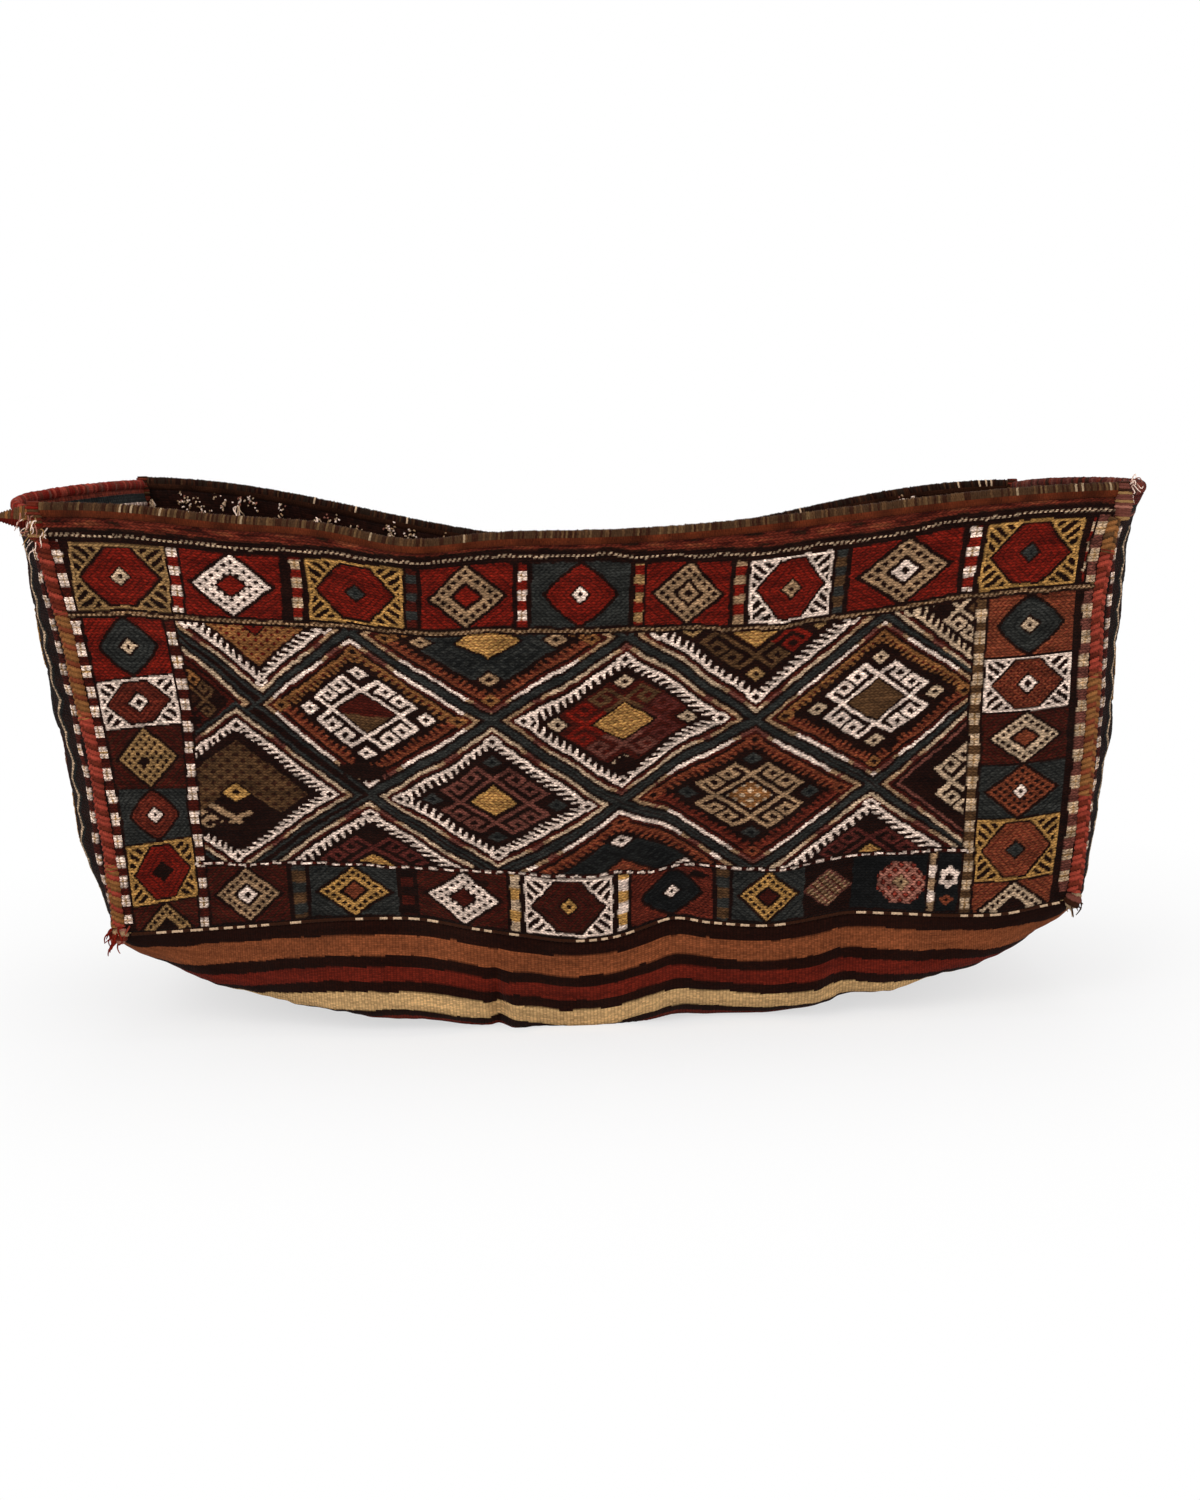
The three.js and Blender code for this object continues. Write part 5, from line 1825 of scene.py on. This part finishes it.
# The ear of the left corner: a flat wrapped cone, with a ridge for each turn of yarn
def makeEar(at, seed):
    turns, sides, mix = ear["turns"], ear["sides"], ear["wools"]
    share = np.linspace(0, 1, turns * 5 + 1)
    points = np.array(at) + unit(np.array(ear["direction"]))[None] * (share * ear["length"])[:, None]
    out, across = pathFrames(points, np.array([0, 0, 1.0]))
    turn = ringTurns(sides)
    wrap = share[:, None] * turns + turn[None] / (2 * np.pi)
    radius = ear["wide"] * (1 - 0.74 * share**1.3)[:, None] * (0.84 + 0.2 * np.abs(np.sin(np.pi * wrap)))
    rings = pathRings(points, out, across, turn, radius, ear["flat"])
    draw = np.random.default_rng(seed)
    picks = draw.choice(len(mix), turns + 2, p=list(mix.values()))
    colours = dye(*mix)[picks][np.floor(wrap[:-1]).astype(int)]
    upper = np.cos(turn + np.pi / sides) > -0.1
    colours = np.where(upper[None, :, None], colours, dye(ear["below"]))
    colours[..., :3] *= draw.normal(1, 0.1, colours.shape[:2])[..., None]
    return rings[None], colours[None]


# Yarn ends at the front: the ear and the threads of the upper corners, a tuft at each foot
earAt = cornerAt(left, front, 1.0)
whipTufts = {
    "frontLeft": [
        makeEar(earAt, 971),
        tuft(cornerAt(left, front, 0.975), (-0.2, -0.9, -0.5), (0.007, 0.018), 0.0006,
             {"white": 0.6, "khaki": 0.4}, 14, 991, 0.5, 0.006, 0.4),
        tuft(earAt + [0, -0.008, -0.002], (-0.2, -0.8, -0.6), (0.006, 0.014), 0.0007,
             {"white": 0.35, "khaki": 0.3, "pink": 0.35}, 20, 975, 0.5, 0.005, 0.5),
    ],
    "frontRight": [
        tuft(cornerAt(right, front, 1.03), (0.3, -0.5, 0.4), (0.010, 0.019), 0.0007,
             {"white": 0.6, "pink": 0.4}, 10, 979, 0.6, 0.002, 0.5),
    ],
}
knotTufts = {
    "frontLeft": [
        tuft(cornerAt(left, front, 0.01), (-0.4, -0.5, -0.7), (0.009, 0.017), 0.0010,
             {"red": 0.6, "coral": 0.4}, 26, 983, 0.3, 0.004, 0.3),
    ],
    "frontRight": [
        tuft(cornerAt(right, front, 0.0), (0.3, -0.5, -0.6), (0.010, 0.016), 0.0009,
             {"umber": 0.6, "hairGrey": 0.4}, 8, 987, 0.4, 0.003, 0.3),
    ],
}
for n, (name, node, sideX, sideY) in enumerate(corners):
    piece = makeWhip(name + "Whip", sideX, sideY, whipWools[name], 900 + 10 * n, whipTufts.get(name, ()))
    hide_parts(node + "_corner_whip")
    piece = makeKnot(name + "Knot", sideX, sideY, knotWools[name], 950 + 10 * n, knotTufts.get(name, ()))
    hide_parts(node + "_foot_knot")
print("corners tied")

# Stage, light and camera

camera = {
    "place": (-0.0044, -1.7549, 0.6059),
    "yaw": 0.011,
    "pitch": 0.1966,
    "roll": -0.024,
    "focal": 1596.6,  # pixels of the 1200 by 1500 picture
    "pictureHeight": 1500,
}


# Camera from its place and its turns: yaw to the right, pitch down, roll
def makeCamera():
    data = bpy.data.cameras.new("camera")
    eye = addObject("camera", data)
    yaw, pitch, roll = camera["yaw"], camera["pitch"], camera["roll"]
    ahead = np.array([math.sin(yaw) * math.cos(pitch), math.cos(yaw) * math.cos(pitch), -math.sin(pitch)])
    level = np.array([math.cos(yaw), -math.sin(yaw), 0])
    above = np.cross(level, ahead)
    across = math.cos(roll) * level + math.sin(roll) * above
    up = math.cos(roll) * above - math.sin(roll) * level
    matrix = np.eye(4)
    matrix[:3, 0], matrix[:3, 1], matrix[:3, 2], matrix[:3, 3] = across, up, -ahead, camera["place"]
    eye.matrix_world = Matrix(matrix.tolist())
    data.sensor_width = 36
    data.lens = camera["focal"] / camera["pictureHeight"] * data.sensor_width
    data.clip_start, data.clip_end = 0.01, 100
    bpy.context.scene.camera = eye


stage = {
    "floorSize": 40.0,
    "floorColour": (0.9, 0.9, 0.9, 1),
    "white": (1, 1, 1, 1),
    "stretch": 1.5,  # the fade reaches further along the bag
    "fade": (0.1, 0.75),  # metres from the middle, and how white the floor is at the first
    "fadeLow": 0.55,
    "sky": 0.45,  # light of the surroundings, and how much more of it the camera sees
    "skySeen": 0.55,
    "aim": (0, 0, 0.3),
}


# 1 for what the camera sees, straight or in a reflection, else 0
def seenRays(tree):
    path = tree.nodes.new("ShaderNodeLightPath")
    direct, glossy, clear = (path.outputs[f"Is {ray} Ray"] for ray in ("Camera", "Glossy", "Transmission"))
    return mathNode(tree, "MAXIMUM", direct, mathNode(tree, "MAXIMUM", glossy, clear))


# White floor: it takes the shadow near the bag and fades to plain white further out
def makeFloor():
    mesh = bpy.data.meshes.new("floor")
    h = stage["floorSize"] / 2
    mesh.from_pydata([(-h, -h, 0), (h, -h, 0), (h, h, 0), (-h, h, 0)], [], [(0, 1, 2, 3)])
    floor = addObject("floor", mesh)
    material = bpy.data.materials.new("floorPaper")
    material.use_nodes = True
    tree = material.node_tree
    tree.nodes.remove(tree.nodes["Principled BSDF"])
    paper = addNode(tree, "ShaderNodeBsdfDiffuse", Color=stage["floorColour"])
    glow = addNode(tree, "ShaderNodeEmission", Color=stage["white"], Strength=1.0)
    mix = tree.nodes.new("ShaderNodeMixShader")
    place = tree.nodes.new("ShaderNodeTexCoord")
    split = tree.nodes.new("ShaderNodeSeparateXYZ")
    tree.links.new(place.outputs["Object"], split.inputs[0])
    calc = partial(mathNode, tree)
    along = calc("POWER", calc("DIVIDE", split.outputs[0], stage["stretch"]), 2.0)
    distance = calc("SQRT", calc("ADD", along, calc("POWER", split.outputs[1], 2.0)))
    near, far = stage["fade"]
    fade = tree.nodes.new("ShaderNodeMapRange")
    setInputs(fade, {"From Min": near, "From Max": far, "To Min": stage["fadeLow"]})
    tree.links.new(distance, fade.inputs["Value"])
    tree.links.new(calc("MULTIPLY", fade.outputs[0], seenRays(tree)), mix.inputs[0])
    tree.links.new(paper.outputs[0], mix.inputs[1])
    tree.links.new(glow.outputs[0], mix.inputs[2])
    tree.links.new(mix.outputs[0], tree.nodes["Material Output"].inputs["Surface"])
    mesh.materials.append(material)
    floor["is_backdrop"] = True


lights = [  # name, place, size, power in watts
    ("keyLight", (-1.6, -2.2, 2.3), 1.6, 46),
    ("fillLight", (1.9, -2.0, 1.5), 2.2, 26),
    ("topLight", (0.0, 0.3, 2.6), 1.8, 22),
    ("backLight", (0.4, 2.4, 1.8), 2.0, 20),
]


def makeLights():
    for name, place, size, power in lights:
        data = bpy.data.lights.new(name, "AREA")
        data.size = size
        data.energy = power
        lamp = addObject(name, data)
        aim = np.array(stage["aim"]) - np.array(place)
        lamp.location = place
        lamp.rotation_mode = "QUATERNION"
        lamp.rotation_quaternion = Vector(aim).to_track_quat("-Z", "Y")
    world = bpy.data.worlds.new("studio")
    bpy.context.scene.world = world
    world.use_nodes = True
    tree = world.node_tree
    sky = tree.nodes["Background"]
    sky.inputs["Color"].default_value = stage["white"]
    seen = mathNode(tree, "MULTIPLY", seenRays(tree), stage["skySeen"])
    strength = mathNode(tree, "ADD", seen, stage["sky"])
    tree.links.new(strength, sky.inputs["Strength"])


makeCamera()
makeFloor()
makeLights()
bpy.context.scene.view_settings.view_transform = "Standard"
print("stage ready")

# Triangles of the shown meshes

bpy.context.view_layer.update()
meshes = [piece.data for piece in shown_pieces() if piece.type == "MESH"]
print("triangles", sum(len(face.vertices) - 2 for mesh in meshes for face in mesh.polygons))
